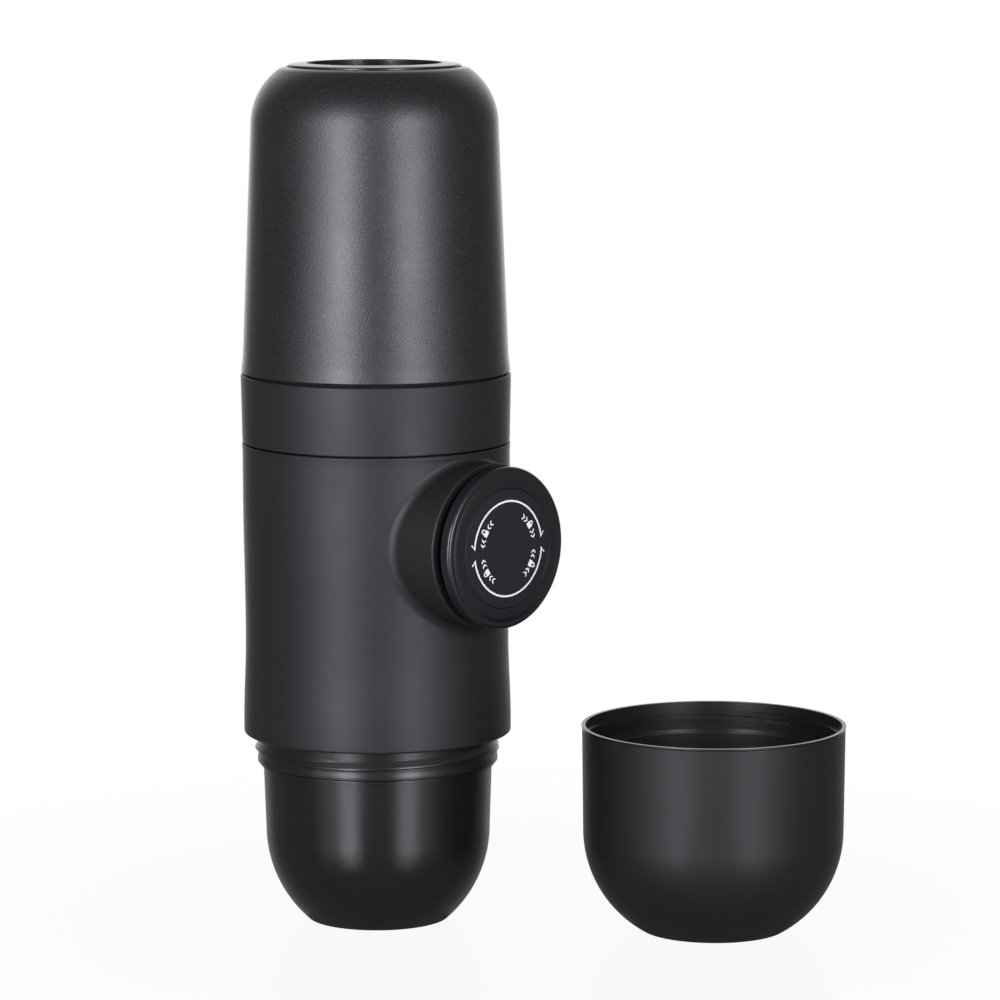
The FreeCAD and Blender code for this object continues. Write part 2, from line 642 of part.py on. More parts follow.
def filter_basket():
    """Deep-drawn basket whose rim lies on the head's collar."""
    inner = basket_radius - d.basket_sheet
    inner_corner = d.basket_corner - d.basket_sheet
    rim = neck_bore - d.basket_rim_inset
    bottom = basket_bottom
    turned_piece("filter_basket", [
        (ZERO, bottom),
        (basket_radius - d.basket_corner, bottom, d.basket_corner, "left"),
        (basket_radius, bottom + d.basket_corner),
        (basket_radius, collar_top),
        (rim, collar_top),
        (rim, collar_top + d.basket_sheet),
        (inner, collar_top + d.basket_sheet),
        (inner, bottom + d.basket_corner, inner_corner, "right"),
        (inner - inner_corner, bottom + d.basket_sheet),
        (ZERO, bottom + d.basket_sheet),
    ])


# ---------------------------------------------------------------- neck and group

def threaded_neck():
    """Neck ring that holds the head inside and the cup outside, with plain thread rings."""
    half_crest = d.neck_ring_crest * 0.5
    ring = neck_ring_height
    turned_piece("threaded_neck", [
        (neck_bore, head_top),
        (neck_core_radius - d.neck_edge, head_top),
        (neck_core_radius, head_top + d.neck_edge),
        (neck_core_radius, ring - half_crest - d.neck_ring_flank),
        (neck_ring_radius, ring - half_crest),
        (neck_ring_radius, ring + half_crest),
        (neck_core_radius, ring + half_crest + d.neck_ring_flank),
        (neck_core_radius, flange_bottom),
        (neck_flange_radius, flange_bottom),
        (neck_flange_radius, flange_top),
        (neck_head_radius, flange_top),
        (neck_head_radius, neck_top),
        (neck_lip_radius, neck_top),
        (neck_lip_radius, gasket_top),
        (neck_bore, gasket_top),
    ])
    body = nodes[-1]
    body.Placement = TURNED
    holes = [(x, y, d.frame_screw_shaft + d.screw_play) for x, y in frame_screw_spots()]
    depth = d.frame_screw_length - d.deck_thickness + d.screw_play
    extrude(body, "neck_screw_holes", holes, depth, offset=neck_top, cut=True)


def group_gasket():
    """Soft ring over the basket's rim."""
    bottom = collar_top + d.basket_sheet + d.gasket_rest
    outer = neck_bore - d.gasket_play
    turned_piece("group_gasket", [
        (gasket_inner_radius, bottom),
        (outer, bottom),
        (outer, gasket_top),
        (gasket_inner_radius, gasket_top),
    ])


def shower_plate():
    """Steel plate that spreads the water through rings of 6, 12 and 18 holes."""
    bottom = gasket_top - d.shower_sheet
    body = turned_piece("shower_plate", [
        (d.shower_screw_shaft + d.screw_play, bottom),
        (shower_radius, bottom),
        (shower_radius, gasket_top),
        (d.shower_screw_shaft + d.screw_play, gasket_top),
    ])
    for step in (1, 2, 3):
        pitch = d.shower_ring_step * step + d.shower_screw_shaft * 0.5
        hole = extrude(body, f"shower_hole_{step}", [(pitch, ZERO, d.shower_hole)],
                       d.shower_sheet, offset=gasket_top, cut=True)
        ring_of_holes(body, f"shower_ring_{step}", hole, 6 * step)


def shower_screw():
    """Screw that holds the shower plate up against the pump block's hub."""
    shaft_top = gasket_top - d.shower_sheet + d.shower_screw_length
    head_bottom = gasket_top - d.shower_sheet - d.shower_screw_head_height
    turned_piece("shower_screw", [
        (ZERO, head_bottom),
        (d.shower_screw_head - d.shower_screw_edge, head_bottom),
        (d.shower_screw_head, head_bottom + d.shower_screw_edge),
        (d.shower_screw_head, gasket_top - d.shower_sheet),
        (d.shower_screw_shaft, gasket_top - d.shower_sheet),
        (d.shower_screw_shaft, shaft_top),
        (ZERO, shaft_top),
    ])


# ---------------------------------------------------------------- body shell

def main_body():
    """Grip shell with the round boss that the piston comes out of."""
    bottom = body_bottom
    body = new_body("main_body", TURNED)
    low, waist, high = (bottom + height for height in
                        (d.body_waist_start, d.body_waist_height, d.body_waist_end))
    low_middle, low_bend = soft_step(d.body_radius, low, body_waist_radius, waist)
    high_middle, high_bend = soft_step(body_top_radius, high, body_waist_radius, waist)
    revolve(body, "grip_form", [
        (ZERO, bottom),
        (d.body_radius - d.body_edge, bottom, d.body_edge, "left"),
        (d.body_radius, bottom + d.body_edge),
        (d.body_radius, low, low_bend, "left"),
        (*low_middle, low_bend, "right"),
        (body_waist_radius, waist, high_bend, "right"),
        (*high_middle, high_bend, "left"),
        (body_top_radius, high),
        (body_top_radius, body_top),
        (ZERO, body_top),
    ])
    extrude(body, "boss_form", [(ZERO, knob_height, boss_radius)], d.boss_reach,
            role="XZ_Plane")
    round_edges(body, "boss_blend", is_boss_seam, d.boss_blend)
    round_edges(body, "boss_rim", is_boss_rim, d.boss_rim_round)
    revolve(body, "top_bead", [
        (body_inner_radius, body_top - d.body_bead_height),
        (body_top_radius, body_top - d.body_bead_height),
        (body_top_radius + d.body_bead, body_top - d.body_bead_height * 0.5),
        (body_top_radius, body_top),
        (body_inner_radius, body_top),
    ])
    revolve(body, "shell_inside", [
        (ZERO, bottom),
        (neck_core_radius + d.body_lip_gap, bottom),
        (neck_core_radius + d.body_lip_gap, flange_bottom),
        (body_inner_radius, flange_bottom),
        (body_inner_radius, body_top),
        (ZERO, body_top),
    ], cut=True)
    extrude(body, "boss_inside", [(ZERO, knob_height, boss_bore)],
            d.boss_reach - boss_depth, role="XZ_Plane", offset=d.boss_reach, cut=True)


def soft_step(radius, height, waist_radius, waist_height):
    """Return the middle of a step made of two equal tangent arcs, and their radius."""
    drop = radius - waist_radius
    rise = waist_height - height
    bend = (rise * rise + drop * drop) / (drop * 4)
    return ((radius + waist_radius) * 0.5, (height + waist_height) * 0.5), bend


def is_boss_seam(edge):
    """Tell whether an edge runs round the boss where it meets the body."""
    reach = boss_radius.number
    for place in edge.discretize(7):
        across = math.hypot(place.x, place.z - knob_height.number)
        if abs(across - reach) > 0.01 or place.y < -d.body_radius.number - 1 or place.y > -1:
            return False
    return True


def is_boss_rim(edge):
    """Tell whether an edge is the outer edge of the boss rim."""
    return all(abs(place.y + d.boss_reach.number) < 0.01 for place in edge.discretize(5))


# ---------------------------------------------------------------- pump

def pump_block():
    """Spool of two decks that carries the pump housing, the outlet tower and two pillars."""
    body = new_body("pump_block", TURNED)
    revolve(body, "lower_deck", [
        (ZERO, gasket_top),
        (d.hub_radius, gasket_top),
        (d.hub_radius, neck_top),
        (deck_radius, neck_top),
        (deck_radius, lower_deck_top),
        (d.hub_radius, lower_deck_top),
        (d.hub_radius, neck_top + d.hub_height),
        (ZERO, neck_top + d.hub_height),
    ])
    height = deck_top - neck_top
    pillars = [(d.pillar_offset * side, ZERO, d.pillar_radius) for side in (1, -1)]
    extrude(body, "pump_housing", [(ZERO, knob_height, pump_housing_radius)],
            pump_rear + pump_front, role="XZ_Plane", offset=pump_rear * -1)
    extrude(body, "upper_deck", [(ZERO, ZERO, deck_radius)], d.deck_thickness,
            offset=upper_deck_bottom)
    extrude(body, "side_pillars", pillars, height - d.deck_root * 2,
            offset=neck_top + d.deck_root)
    extrude(body, "outlet_tower", [(ZERO, port_offset, d.tower_radius)],
            knob_height - neck_top - d.deck_root,
            offset=neck_top + d.deck_root)
    extrude(body, "gland_seat", [(ZERO, knob_height, pump_housing_radius + d.fit_gap * 4)],
            body_inner_radius - pump_front, role="XZ_Plane", offset=body_inner_radius,
            cut=True)
    extrude(body, "cylinder_seat", [(ZERO, knob_height, liner_radius + d.fit_gap)],
            housing_front - bore_end, role="XZ_Plane", offset=pump_front, cut=True)
    gland_holes = [(x, y + knob_height, d.gland_screw_shaft + d.screw_play)
                   for x, y in gland_screw_spots()]
    extrude(body, "gland_screw_holes", gland_holes,
            d.gland_screw_length - d.gland_flange + d.screw_play,
            role="XZ_Plane", offset=pump_front, cut=True)
    frame_holes = [(x, y, d.frame_screw_shaft + d.screw_play) for x, y in frame_screw_spots()]
    extrude(body, "upper_screw_holes", frame_holes, d.deck_thickness, offset=deck_top, cut=True)
    extrude(body, "lower_screw_holes", frame_holes, d.deck_thickness, offset=lower_deck_top,
            cut=True)
    extrude(body, "shower_screw_hole",
            [(ZERO, ZERO, d.shower_screw_shaft + d.screw_play)],
            d.shower_screw_length, offset=gasket_top + d.shower_screw_length - d.shower_sheet * 0.5,
            cut=True)
    port_to_bore = deck_top - knob_height - d.cylinder_bore * 0.5
    extrude(body, "inlet_port", [(ZERO, port_offset, d.port_radius)], port_to_bore,
            offset=deck_top, cut=True)
    extrude(body, "inlet_valve_seat", [(ZERO, port_offset, d.valve_bill + d.fit_gap)],
            d.valve_length + d.fit_gap, offset=deck_top, cut=True)
    extrude(body, "inlet_flange_seat", [(ZERO, port_offset, d.valve_flange + d.fit_gap)],
            d.valve_flange_height, offset=deck_top, cut=True)
    extrude(body, "outlet_port", [(ZERO, port_offset, d.port_radius)],
            knob_height - d.cylinder_bore * 0.5 - neck_top,
            offset=knob_height - d.cylinder_bore * 0.5, cut=True)
    extrude(body, "outlet_valve_seat", [(ZERO, port_offset, d.valve_flange + d.fit_gap)],
            d.valve_length, offset=neck_top + d.valve_length, cut=True)


def valve_outline():
    """Outline of a one-way valve: bill down, flange up."""
    shoulder = d.valve_length - d.valve_flange_height
    return [
        (ZERO, ZERO),
        (d.valve_tip, ZERO),
        (d.valve_bill, d.valve_taper),
        (d.valve_bill, shoulder),
        (d.valve_flange, shoulder),
        (d.valve_flange, d.valve_length),
        (ZERO, d.valve_length),
    ]


def valves():
    """One-way valves of the pump, over its inlet and under its outlet."""
    port = PUMP_DIRECTION * -port_offset.number
    for label, top in (("inlet_valve", deck_top), ("outlet_valve", neck_top + d.valve_length)):
        place = port + Vector(0, 0, (top - d.valve_length).number)
        turned_piece(label, valve_outline(), FreeCAD.Placement(place, TURN))


def pump_cylinder():
    """Steel liner of the pump housing, with a port on top and one below."""
    body = turned_piece("pump_cylinder", [
        (d.cylinder_bore, bore_end),
        (liner_radius, bore_end),
        (liner_radius, housing_front),
        (d.cylinder_bore, housing_front),
    ], ALONG_PUMP)
    extrude(body, "cylinder_ports", [(ZERO, port_station, d.port_radius)], liner_radius * 2,
            role="XZ_Plane", offset=liner_radius, cut=True)


def gland():
    """Rod guide that closes the cylinder and stops the piston."""
    bore = rod_radius + d.rod_play
    sleeve = bore + d.gland_sleeve_wall
    edge = d.gland_edge
    body = turned_piece("gland", [
        (bore, sleeve_rear),
        (sleeve, sleeve_rear),
        (sleeve, housing_front),
        (pump_housing_radius, housing_front),
        (pump_housing_radius, flange_front - edge),
        (pump_housing_radius - edge, flange_front),
        (bore + edge, flange_front),
        (bore, flange_front - edge),
    ], ALONG_PUMP)
    holes = [(x, y, d.gland_screw_shaft + d.screw_play) for x, y in gland_screw_spots()]
    extrude(body, "gland_screw_bores", holes, d.gland_flange, offset=flange_front, cut=True)


def gland_screws():
    """Three screws that hold the gland to the pump housing."""
    outline = screw_outline(d.gland_screw_head, d.gland_screw_head_height, d.gland_screw_shaft,
                            d.gland_screw_length)
    start = (flange_front - d.gland_screw_length).number
    places = []
    for x, y in gland_screw_spots():
        local = FreeCAD.Placement(Vector(x.number, y.number, start), FreeCAD.Rotation())
        places.append(ALONG_PUMP.multiply(local))
    screw_group("gland_screws", outline, places)


def frame_screws():
    """Screws from the pump block up into the collar and down into the neck."""
    outline = screw_outline(d.frame_screw_head, d.frame_screw_head_height, d.frame_screw_shaft,
                            d.frame_screw_length)
    length = d.frame_screw_length.number
    upside_down = FreeCAD.Rotation(Vector(1, 0, 0), 180)
    places = []
    for x, y in frame_screw_spots():
        low = Vector(x.number, y.number, lower_deck_top.number - length)
        high = Vector(x.number, y.number, upper_deck_bottom.number + length)
        places.append(TURNED.multiply(FreeCAD.Placement(low, FreeCAD.Rotation())))
        places.append(TURNED.multiply(FreeCAD.Placement(high, upside_down)))
    screw_group("frame_screws", outline, places)


def return_spring():
    """Compressed square-wire spring behind the piston head."""
    wire = d.spring_wire.number
    radius = spring_radius.number
    height = d.spring_space.number - wire - 2 * d.fit_gap.number
    start = bore_end.number + wire / 2 + d.fit_gap.number
    helix = Part.makeHelix(height / d.spring_turns.number, height, radius)
    corners = [Vector(radius + x * wire / 2, 0, y * wire / 2)
               for x, y in ((-1, -1), (1, -1), (1, 1), (-1, 1), (-1, -1))]
    coil = Part.Wire(helix.Edges).makePipeShell([Part.makePolygon(corners)], True, True)
    spring = document.addObject("Part::Feature", "return_spring")
    spring.Label = "return_spring"
    spring.Shape = coil
    spring.Placement = ALONG_PUMP.multiply(
        FreeCAD.Placement(Vector(0, 0, start), FreeCAD.Rotation()))
    nodes.append(spring)


def piston_rod():
    """Rod from the piston head's stud to the spigot that the knob turns on."""
    shoulder = pump_rear + rod_shoulder
    stud_rear = piston_front - d.stud_length
    screw_end = spigot_end - d.knob_screw_length - d.screw_play
    hole = d.knob_screw_shaft + d.screw_play
    turned_piece("piston_rod", [
        (ZERO, stud_rear),
        (d.stud_radius, stud_rear),
        (d.stud_radius, piston_front),
        (rod_radius, piston_front),
        (rod_radius, shoulder),
        (d.rod_spigot_radius, shoulder),
        (d.rod_spigot_radius, spigot_end),
        (hole, spigot_end),
        (hole, screw_end),
        (ZERO, screw_end),
    ], ALONG_PUMP)


def piston_head():
    """Piston with a groove for its seal."""
    outer = d.cylinder_bore - d.piston_play
    groove_floor = outer - d.seal_depth
    middle = piston_rear + d.piston_length * 0.5
    half_groove = d.seal_width * 0.5 + d.seal_side_play
    hole = d.stud_radius + d.fit_gap
    hole_end = piston_front - d.stud_length - d.fit_gap
    turned_piece("piston_head", [
        (ZERO, piston_rear),
        (outer, piston_rear),
        (outer, middle - half_groove),
        (groove_floor, middle - half_groove),
        (groove_floor, middle + half_groove),
        (outer, middle + half_groove),
        (outer, piston_front),
        (hole, piston_front),
        (hole, hole_end),
        (ZERO, hole_end),
    ], ALONG_PUMP)


def piston_seal():
    """Soft ring in the piston's groove."""
    outer = d.cylinder_bore - d.seal_play
    inner = d.cylinder_bore - d.piston_play - d.seal_depth + d.fit_gap
    middle = piston_rear + d.piston_length * 0.5
    half = d.seal_width * 0.5
    edge = d.seal_edge
    turned_piece("piston_seal", [
        (inner, middle - half),
        (outer - edge, middle - half),
        (outer, middle - half + edge),
        (outer, middle + half - edge),
        (outer - edge, middle + half),
        (inner, middle + half),
    ], ALONG_PUMP)


# ---------------------------------------------------------------- knob

def knob_cap():
    """Turning knob: crowned front, web round the rod's spigot and a skirt inside the boss."""
    rear = pump_rear + knob_rear
    front = pump_rear + knob_front
    web_rear = pump_rear + rod_shoulder + d.knob_web_gap
    web_front = web_rear + d.knob_web
    skirt_inner = knob_skirt_radius - d.knob_skirt_wall
    ledge = front - d.face_crown - d.face_thickness
    recess = face_radius + d.face_play
    corner_front = front - d.knob_rim_drop
    bore = d.rod_spigot_radius + d.fit_gap
    turned_piece("knob_cap", [
        (bore, web_rear),
        (skirt_inner, web_rear),
        (skirt_inner, skirt_rear),
        (knob_skirt_radius, skirt_rear),
        (knob_skirt_radius, rear),
        (knob_radius - d.knob_rear_round, rear, d.knob_rear_round, "left"),
        (knob_radius, rear + d.knob_rear_round),
        (knob_radius, corner_front - d.knob_corner, d.knob_corner, "left"),
        (knob_radius - d.knob_corner, corner_front),
        (recess, front - d.face_crown),
        (recess, ledge),
        (recess - d.face_ledge, ledge),
        (recess - d.face_ledge, web_front),
        (bore, web_front),
    ], ALONG_PUMP)


def knob_face():
    """Slightly crowned disc that carries the knob's print."""
    front = pump_rear + knob_front
    edge = front - d.face_crown
    reach = face_radius * face_radius
    crown_radius = (reach + d.face_crown * d.face_crown) / (d.face_crown * 2)
    turned_piece("knob_face", [
        (ZERO, edge - d.face_thickness),
        (face_radius, edge - d.face_thickness),
        (face_radius, edge, crown_radius, "left"),
        (ZERO, front),
    ], ALONG_PUMP)


def knob_screw():
    """Wide-headed screw that keeps the knob on the rod's spigot."""
    start = spigot_end - d.knob_screw_length
    turned_piece("knob_screw", screw_outline(
        d.knob_screw_head, d.knob_screw_head_height, d.knob_screw_shaft,
        d.knob_screw_length, start), ALONG_PUMP)


# ---------------------------------------------------------------- collar band

def collar_band():
    """Band between body and tank: spigot below, water floor, and neck for the tank."""
    bottom = deck_top
    floor_top = bottom + d.collar_floor
    neck_inner = tank_neck_radius - d.tank_neck_wall
    wall_inner = band_radius - d.band_skin
    neck_end = band_top + d.tank_neck_reach
    body = turned_piece("collar_band", [
        (ZERO, bottom),
        (tank_neck_radius, bottom),
        (tank_neck_radius, band_top - d.band_ledge),
        (wall_inner, band_top - d.band_ledge),
        (wall_inner, bottom),
        (spigot_radius, bottom),
        (spigot_radius, body_top),
        (band_radius - d.band_reveal, body_top),
        (band_radius - d.band_reveal, body_top + d.band_reveal),
        (band_radius, body_top + d.band_reveal),
        (band_top_radius, band_top - d.band_top_round),
        (band_top_radius - d.band_top_round, band_top),
        (tank_neck_radius, band_top),
        (tank_neck_radius, neck_end - d.band_top_round),
        (tank_neck_radius - d.band_top_round, neck_end),
        (neck_inner, neck_end),
        (neck_inner, floor_top),
        (ZERO, floor_top),
    ], TURNED)
    towers = [(x, y, d.screw_tower_radius) for x, y in frame_screw_spots()]
    extrude(body, "screw_towers", towers, band_top - bottom - d.band_ledge * 0.5, offset=bottom)
    hole_depth = d.frame_screw_length - d.deck_thickness + d.screw_play
    holes = [(x, y, d.frame_screw_shaft + d.screw_play) for x, y in frame_screw_spots()]
    extrude(body, "tower_holes", holes, hole_depth, offset=bottom + hole_depth, cut=True)
    extrude(body, "water_inlet", [(ZERO, port_offset, d.collar_port)], d.collar_floor,
            offset=floor_top, cut=True)


# ---------------------------------------------------------------- water tank

def tank_gasket():
    """Thin soft ring between the band's ledge and the tank."""
    inner = tank_neck_radius + d.thread_clearance
    turned_piece("tank_gasket", [
        (inner, band_top),
        (tank_gasket_radius, band_top),
        (tank_gasket_radius, tank_bottom),
        (inner, tank_bottom),
    ])


def tank_lip_height():
    """Height of the tank's upper lip, where its shoulder reaches the end ring."""
    centre = tank_shoulder_radius - d.tank_shoulder_round
    return tank_shoulder + arc_reach(d.tank_shoulder_round, d.tank_mouth_radius - centre)


def tank_shell():
    """Outer wall of the tank, from the flared lower edge to the mouth for the end ring."""
    lip = tank_lip_height()
    seat = lip - d.ring_flange
    seat_bottom = seat - d.ring_seat
    inner_round = d.tank_shoulder_round - d.tank_wall
    centre = tank_shoulder_radius - d.tank_shoulder_round
    inner_reach = centre + arc_reach(inner_round, seat_bottom - tank_shoulder)
    flare_start = tank_bottom + d.tank_flare * 0.5
    turned_piece("tank_shell", [
        (tank_radius - d.tank_wall, tank_bottom),
        (tank_radius + d.tank_flare * 0.5, tank_bottom),
        (tank_radius + d.tank_flare, flare_start),
        (tank_radius, tank_bottom + d.tank_flare_height),
        (tank_shoulder_radius, tank_shoulder, d.tank_shoulder_round, "left"),
        (d.tank_mouth_radius, lip),
        (d.tank_mouth_radius, seat),
        (d.tank_mouth_radius - d.ring_seat_width, seat),
        (d.tank_mouth_radius - d.ring_seat_width, seat_bottom),
        (inner_reach, seat_bottom, inner_round, "right"),
        (tank_shoulder_radius - d.tank_wall, tank_shoulder),
        (tank_radius - d.tank_wall, tank_bottom + d.tank_flare_height),
    ])


def recess_floor():
    """Height of the liner's top, which is the floor of the end recess."""
    return tank_lip_height() - d.recess_depth


def tank_liner():
    """Inner wall that holds the water and screws onto the collar's neck."""
    thread_radius = tank_neck_radius + d.thread_clearance
    thread_end = band_top + d.tank_neck_reach + d.liner_thread_extra
    top = recess_floor()
    flange = tank_radius - d.tank_wall - d.liner_gap
    turned_piece("tank_liner", [
        (thread_radius, tank_bottom),
        (flange, tank_bottom),
        (flange, tank_bottom + d.liner_flange),
        (thread_radius + d.liner_wall, tank_bottom + d.liner_flange),
        (thread_radius + d.liner_wall, thread_end),
        (d.liner_top_radius + d.liner_wall, top),
        (d.air_valve_hole, top),
        (d.air_valve_hole, top - d.liner_wall),
        (d.liner_top_radius, top - d.liner_wall),
        (thread_radius, thread_end),
    ])


def air_valve():
    """Soft mushroom valve that lets air into the tank."""
    top = recess_floor()
    hole_bottom = top - d.liner_wall
    turned_piece("air_valve", [
        (ZERO, hole_bottom - d.air_valve_bulb_height),
        (d.air_valve_bulb_tip, hole_bottom - d.air_valve_bulb_height),
        (d.air_valve_bulb, hole_bottom - d.air_valve_bulb_side),
        (d.air_valve_bulb, hole_bottom),
        (d.air_valve_stem, hole_bottom),
        (d.air_valve_stem, top),
        (d.air_valve_cap, top),
        (d.air_valve_cap - d.air_valve_cap_draft, top + d.air_valve_cap_side),
        (ZERO, top + d.air_valve_cap_height),
    ])


def tank_end_ring():
    """Ring in the tank's mouth, with a skirt down to the liner's top."""
    lip = tank_lip_height()
    seat = lip - d.ring_flange
    outer = d.tank_mouth_radius - d.ring_play
    edge_top = lip - d.ring_edge_drop
    crown = lip + d.ring_crown
    skirt_outer = ring_bore + d.ring_skirt_wall
    turned_piece("tank_end_ring", [
        (ring_bore, recess_floor()),
        (skirt_outer, recess_floor()),
        (skirt_outer, seat),
        (outer, seat),
        (outer, edge_top, d.ring_crown_bulge, "left"),
        (ring_bore + d.ring_crown, crown),
        (ring_bore, crown - d.ring_crown),
    ])


# ---------------------------------------------------------------- cup

def cup():
    """Loose cup, which screws over the neck and the head to close the device."""
    centre = cup_wall_radius - d.cup_bulge
    floor_top = d.cup_foot_recess + d.cup_floor
    ledge = d.cup_height - d.cup_thread_depth
    inner_low = cup_inner_radius - d.cup_inner_taper
    inner_bulge = inner_low - centre
    floor_reach = centre + arc_reach(inner_bulge, d.cup_wall_height - floor_top)
    foot_inner = d.cup_foot_radius - d.cup_foot_ring
    lip_radius = cup_rim_radius + d.cup_lip
    lip_start = d.cup_height - d.cup_lip_height
    place = FreeCAD.Placement(Vector(cup_x.number, d.cup_y.number, 0), FreeCAD.Rotation())
    turned_piece("cup", [
        (ZERO, d.cup_foot_recess),
        (foot_inner - d.cup_recess_draft, d.cup_foot_recess),
        (foot_inner, ZERO),
        (d.cup_foot_radius, ZERO, d.cup_bulge, "left"),
        (cup_wall_radius, d.cup_wall_height),
        (cup_rim_radius, lip_start),
        (lip_radius, lip_start + d.cup_lip * 2),
        (lip_radius, d.cup_height - d.cup_mouth_flare),
        (lip_radius - d.cup_mouth_flare, d.cup_height),
        (cup_mouth_radius + d.cup_mouth_flare, d.cup_height),
        (cup_mouth_radius, d.cup_height - d.cup_mouth_flare),
        (cup_mouth_radius, ledge),
        (cup_inner_radius, ledge),
        (inner_low, d.cup_wall_height, inner_bulge, "right"),
        (floor_reach, floor_top),
        (ZERO, floor_top),
    ], place)


# ---------------------------------------------------------------- build, check, write

def build():
    """Build every node in the order of assembly."""
    for make in (outlet_head, outlet_nozzle, filter_basket, threaded_neck, group_gasket,
                 shower_plate, shower_screw, main_body, pump_block, valves, pump_cylinder,
                 gland, gland_screws, frame_screws, return_spring, piston_rod, piston_head,
                 piston_seal, knob_cap, knob_face, knob_screw, collar_band, tank_gasket,
                 tank_shell, tank_liner, air_valve, tank_end_ring, cup):
        make()
    document.recompute()


def faults():
    """Return a line for each object that failed and each node whose shape is unsound."""
    lines = [f"{item.Name}: {item.State}" for item in document.Objects
             if "Invalid" in item.State or "Error" in item.State]
    for node in nodes:
        if node.Shape.isNull() or not node.Shape.isValid() or not node.Shape.Solids:
            lines.append(f"{node.Label}: shape is null, broken or not solid")
    return lines


build()
problems = faults()
if problems:
    raise RuntimeError("\n".join(problems))
os.makedirs("parts", exist_ok=True)
for node in nodes:
    node.Shape.exportStep(f"parts/{node.Label}.step")
    print(f"{node.Label:16s} solids {len(node.Shape.Solids)}  volume {node.Shape.Volume:10.1f}")
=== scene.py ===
"""Looks of a handheld manual espresso maker and its loose cup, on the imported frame.

Outlines are written in millimetres, as on a turner's drawing: r is the distance from the
piece's own axis and z the height along it. Blender's own lengths are metres.
"""

import json
import logging
import math
from dataclasses import dataclass, field
from enum import Enum
from typing import Callable, Sequence

import bmesh
import bpy
from mathutils import Matrix, Vector

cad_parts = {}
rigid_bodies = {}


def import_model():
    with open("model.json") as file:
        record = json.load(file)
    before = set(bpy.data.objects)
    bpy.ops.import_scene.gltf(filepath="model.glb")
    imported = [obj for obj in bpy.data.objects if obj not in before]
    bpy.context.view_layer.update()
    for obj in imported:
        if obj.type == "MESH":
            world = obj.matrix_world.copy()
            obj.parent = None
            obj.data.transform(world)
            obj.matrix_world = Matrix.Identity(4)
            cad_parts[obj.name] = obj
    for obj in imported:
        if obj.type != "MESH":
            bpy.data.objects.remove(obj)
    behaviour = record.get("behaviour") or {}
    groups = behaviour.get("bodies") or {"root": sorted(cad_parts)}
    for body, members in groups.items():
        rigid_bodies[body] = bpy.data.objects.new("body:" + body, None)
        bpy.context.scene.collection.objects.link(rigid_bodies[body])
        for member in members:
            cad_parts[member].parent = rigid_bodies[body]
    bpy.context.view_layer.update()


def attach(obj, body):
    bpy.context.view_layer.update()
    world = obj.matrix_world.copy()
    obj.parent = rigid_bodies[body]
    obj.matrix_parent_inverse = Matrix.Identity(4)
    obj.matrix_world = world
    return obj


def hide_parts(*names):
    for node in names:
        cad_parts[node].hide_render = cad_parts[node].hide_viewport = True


log = logging.getLogger("espresso_maker")

MM = 0.001
SIDES = 192            # faces round a turned piece, 1 mm each on the grip
SHARP = math.radians(32)
WELD = 0.002           # points nearer than this, in millimetres, become one

KNOB_AZIMUTH = math.radians(45.7)      # the pump points this far from the front to the right
KNOB_HEIGHT = 88.4
PUMP = Vector((math.sin(KNOB_AZIMUTH), -math.cos(KNOB_AZIMUTH), 0.0))
ACROSS = Vector((math.cos(KNOB_AZIMUTH), math.sin(KNOB_AZIMUTH), 0.0))
UP = Vector((0.0, 0.0, 1.0))
CUP_PLACE = Vector((75.4, -12.6, 0.0))

JOINT_LEAD = 3.0       # rise in one turn of the tank's and the head's screw joints
JOINT_RIDGE = 0.3
JOINT_WIDTHS = (1.1, 0.4)
CUP_LEAD = 3.9         # the same for the cup's quick thread, which has three starts
CUP_STARTS = (0, 120, 240)

# ------------------------------------------------------------------ outlines


@dataclass(frozen=True)
class Corner:
    """One corner of a turned outline, in millimetres.

    Args:
        r: distance from the axis.
        z: height along the axis.
        fillet: rounding of this corner, between two straight runs.
        bulge: radius of the arc that leads here, centre on the left if positive.
        steps: points along that arc.
    """

    r: float
    z: float
    fillet: float = 0.0
    bulge: float = 0.0
    steps: int = 0


Point = tuple[float, float]
Section = Sequence[Corner | Point]     # a bare point is a sharp corner


def arc_points(start: Point, end: Point, bulge: float, steps: int) -> list[Point]:
    """Draw out an arc.

    Args:
        start: where the arc begins.
        end: where it ends.
        bulge: its radius, with the centre on the left if positive.
        steps: number of points, or 0 for one each four degrees.

    Returns:
        The points along the arc, without its start.
    """
    dx, dz = end[0] - start[0], end[1] - start[1]
    chord = math.hypot(dx, dz)
    radius = abs(bulge)
    rise = math.sqrt(max(radius * radius - chord * chord / 4, 0.0))
    side = 1 if bulge > 0 else -1
    centre = ((start[0] + end[0]) / 2 - side * rise * dz / chord,
              (start[1] + end[1]) / 2 + side * rise * dx / chord)
    first = math.atan2(start[1] - centre[1], start[0] - centre[0])
    sweep = side * 2 * math.asin(min(chord / (2 * radius), 1.0))
    count = steps or max(2, math.ceil(abs(math.degrees(sweep)) / 4))
    return [(centre[0] + radius * math.cos(first + sweep * i / count),
             centre[1] + radius * math.sin(first + sweep * i / count))
            for i in range(1, count + 1)]


def rounded(before: Point, at: Corner, after: Point) -> list[Point]:
    """Round a corner between two straight runs.

    Args:
        before: where the first run comes from.
        at: the corner.
        after: where the second run goes.

    Returns:
        The points of the rounding.
    """
    here = Vector((at.r, at.z))
    back = (Vector(before) - here).normalized()
    ahead = (Vector(after) - here).normalized()
    half = back.angle(ahead) / 2
    cut = at.fillet / math.tan(half)
    start, end = here + back * cut, here + ahead * cut
    left = back.x * ahead.y - back.y * ahead.x < 0
    steps = max(3, math.ceil(math.degrees(math.pi - 2 * half) / 15))
    points = arc_points(tuple(start), tuple(end), at.fillet if left else -at.fillet, steps)
    return [tuple(start)] + points


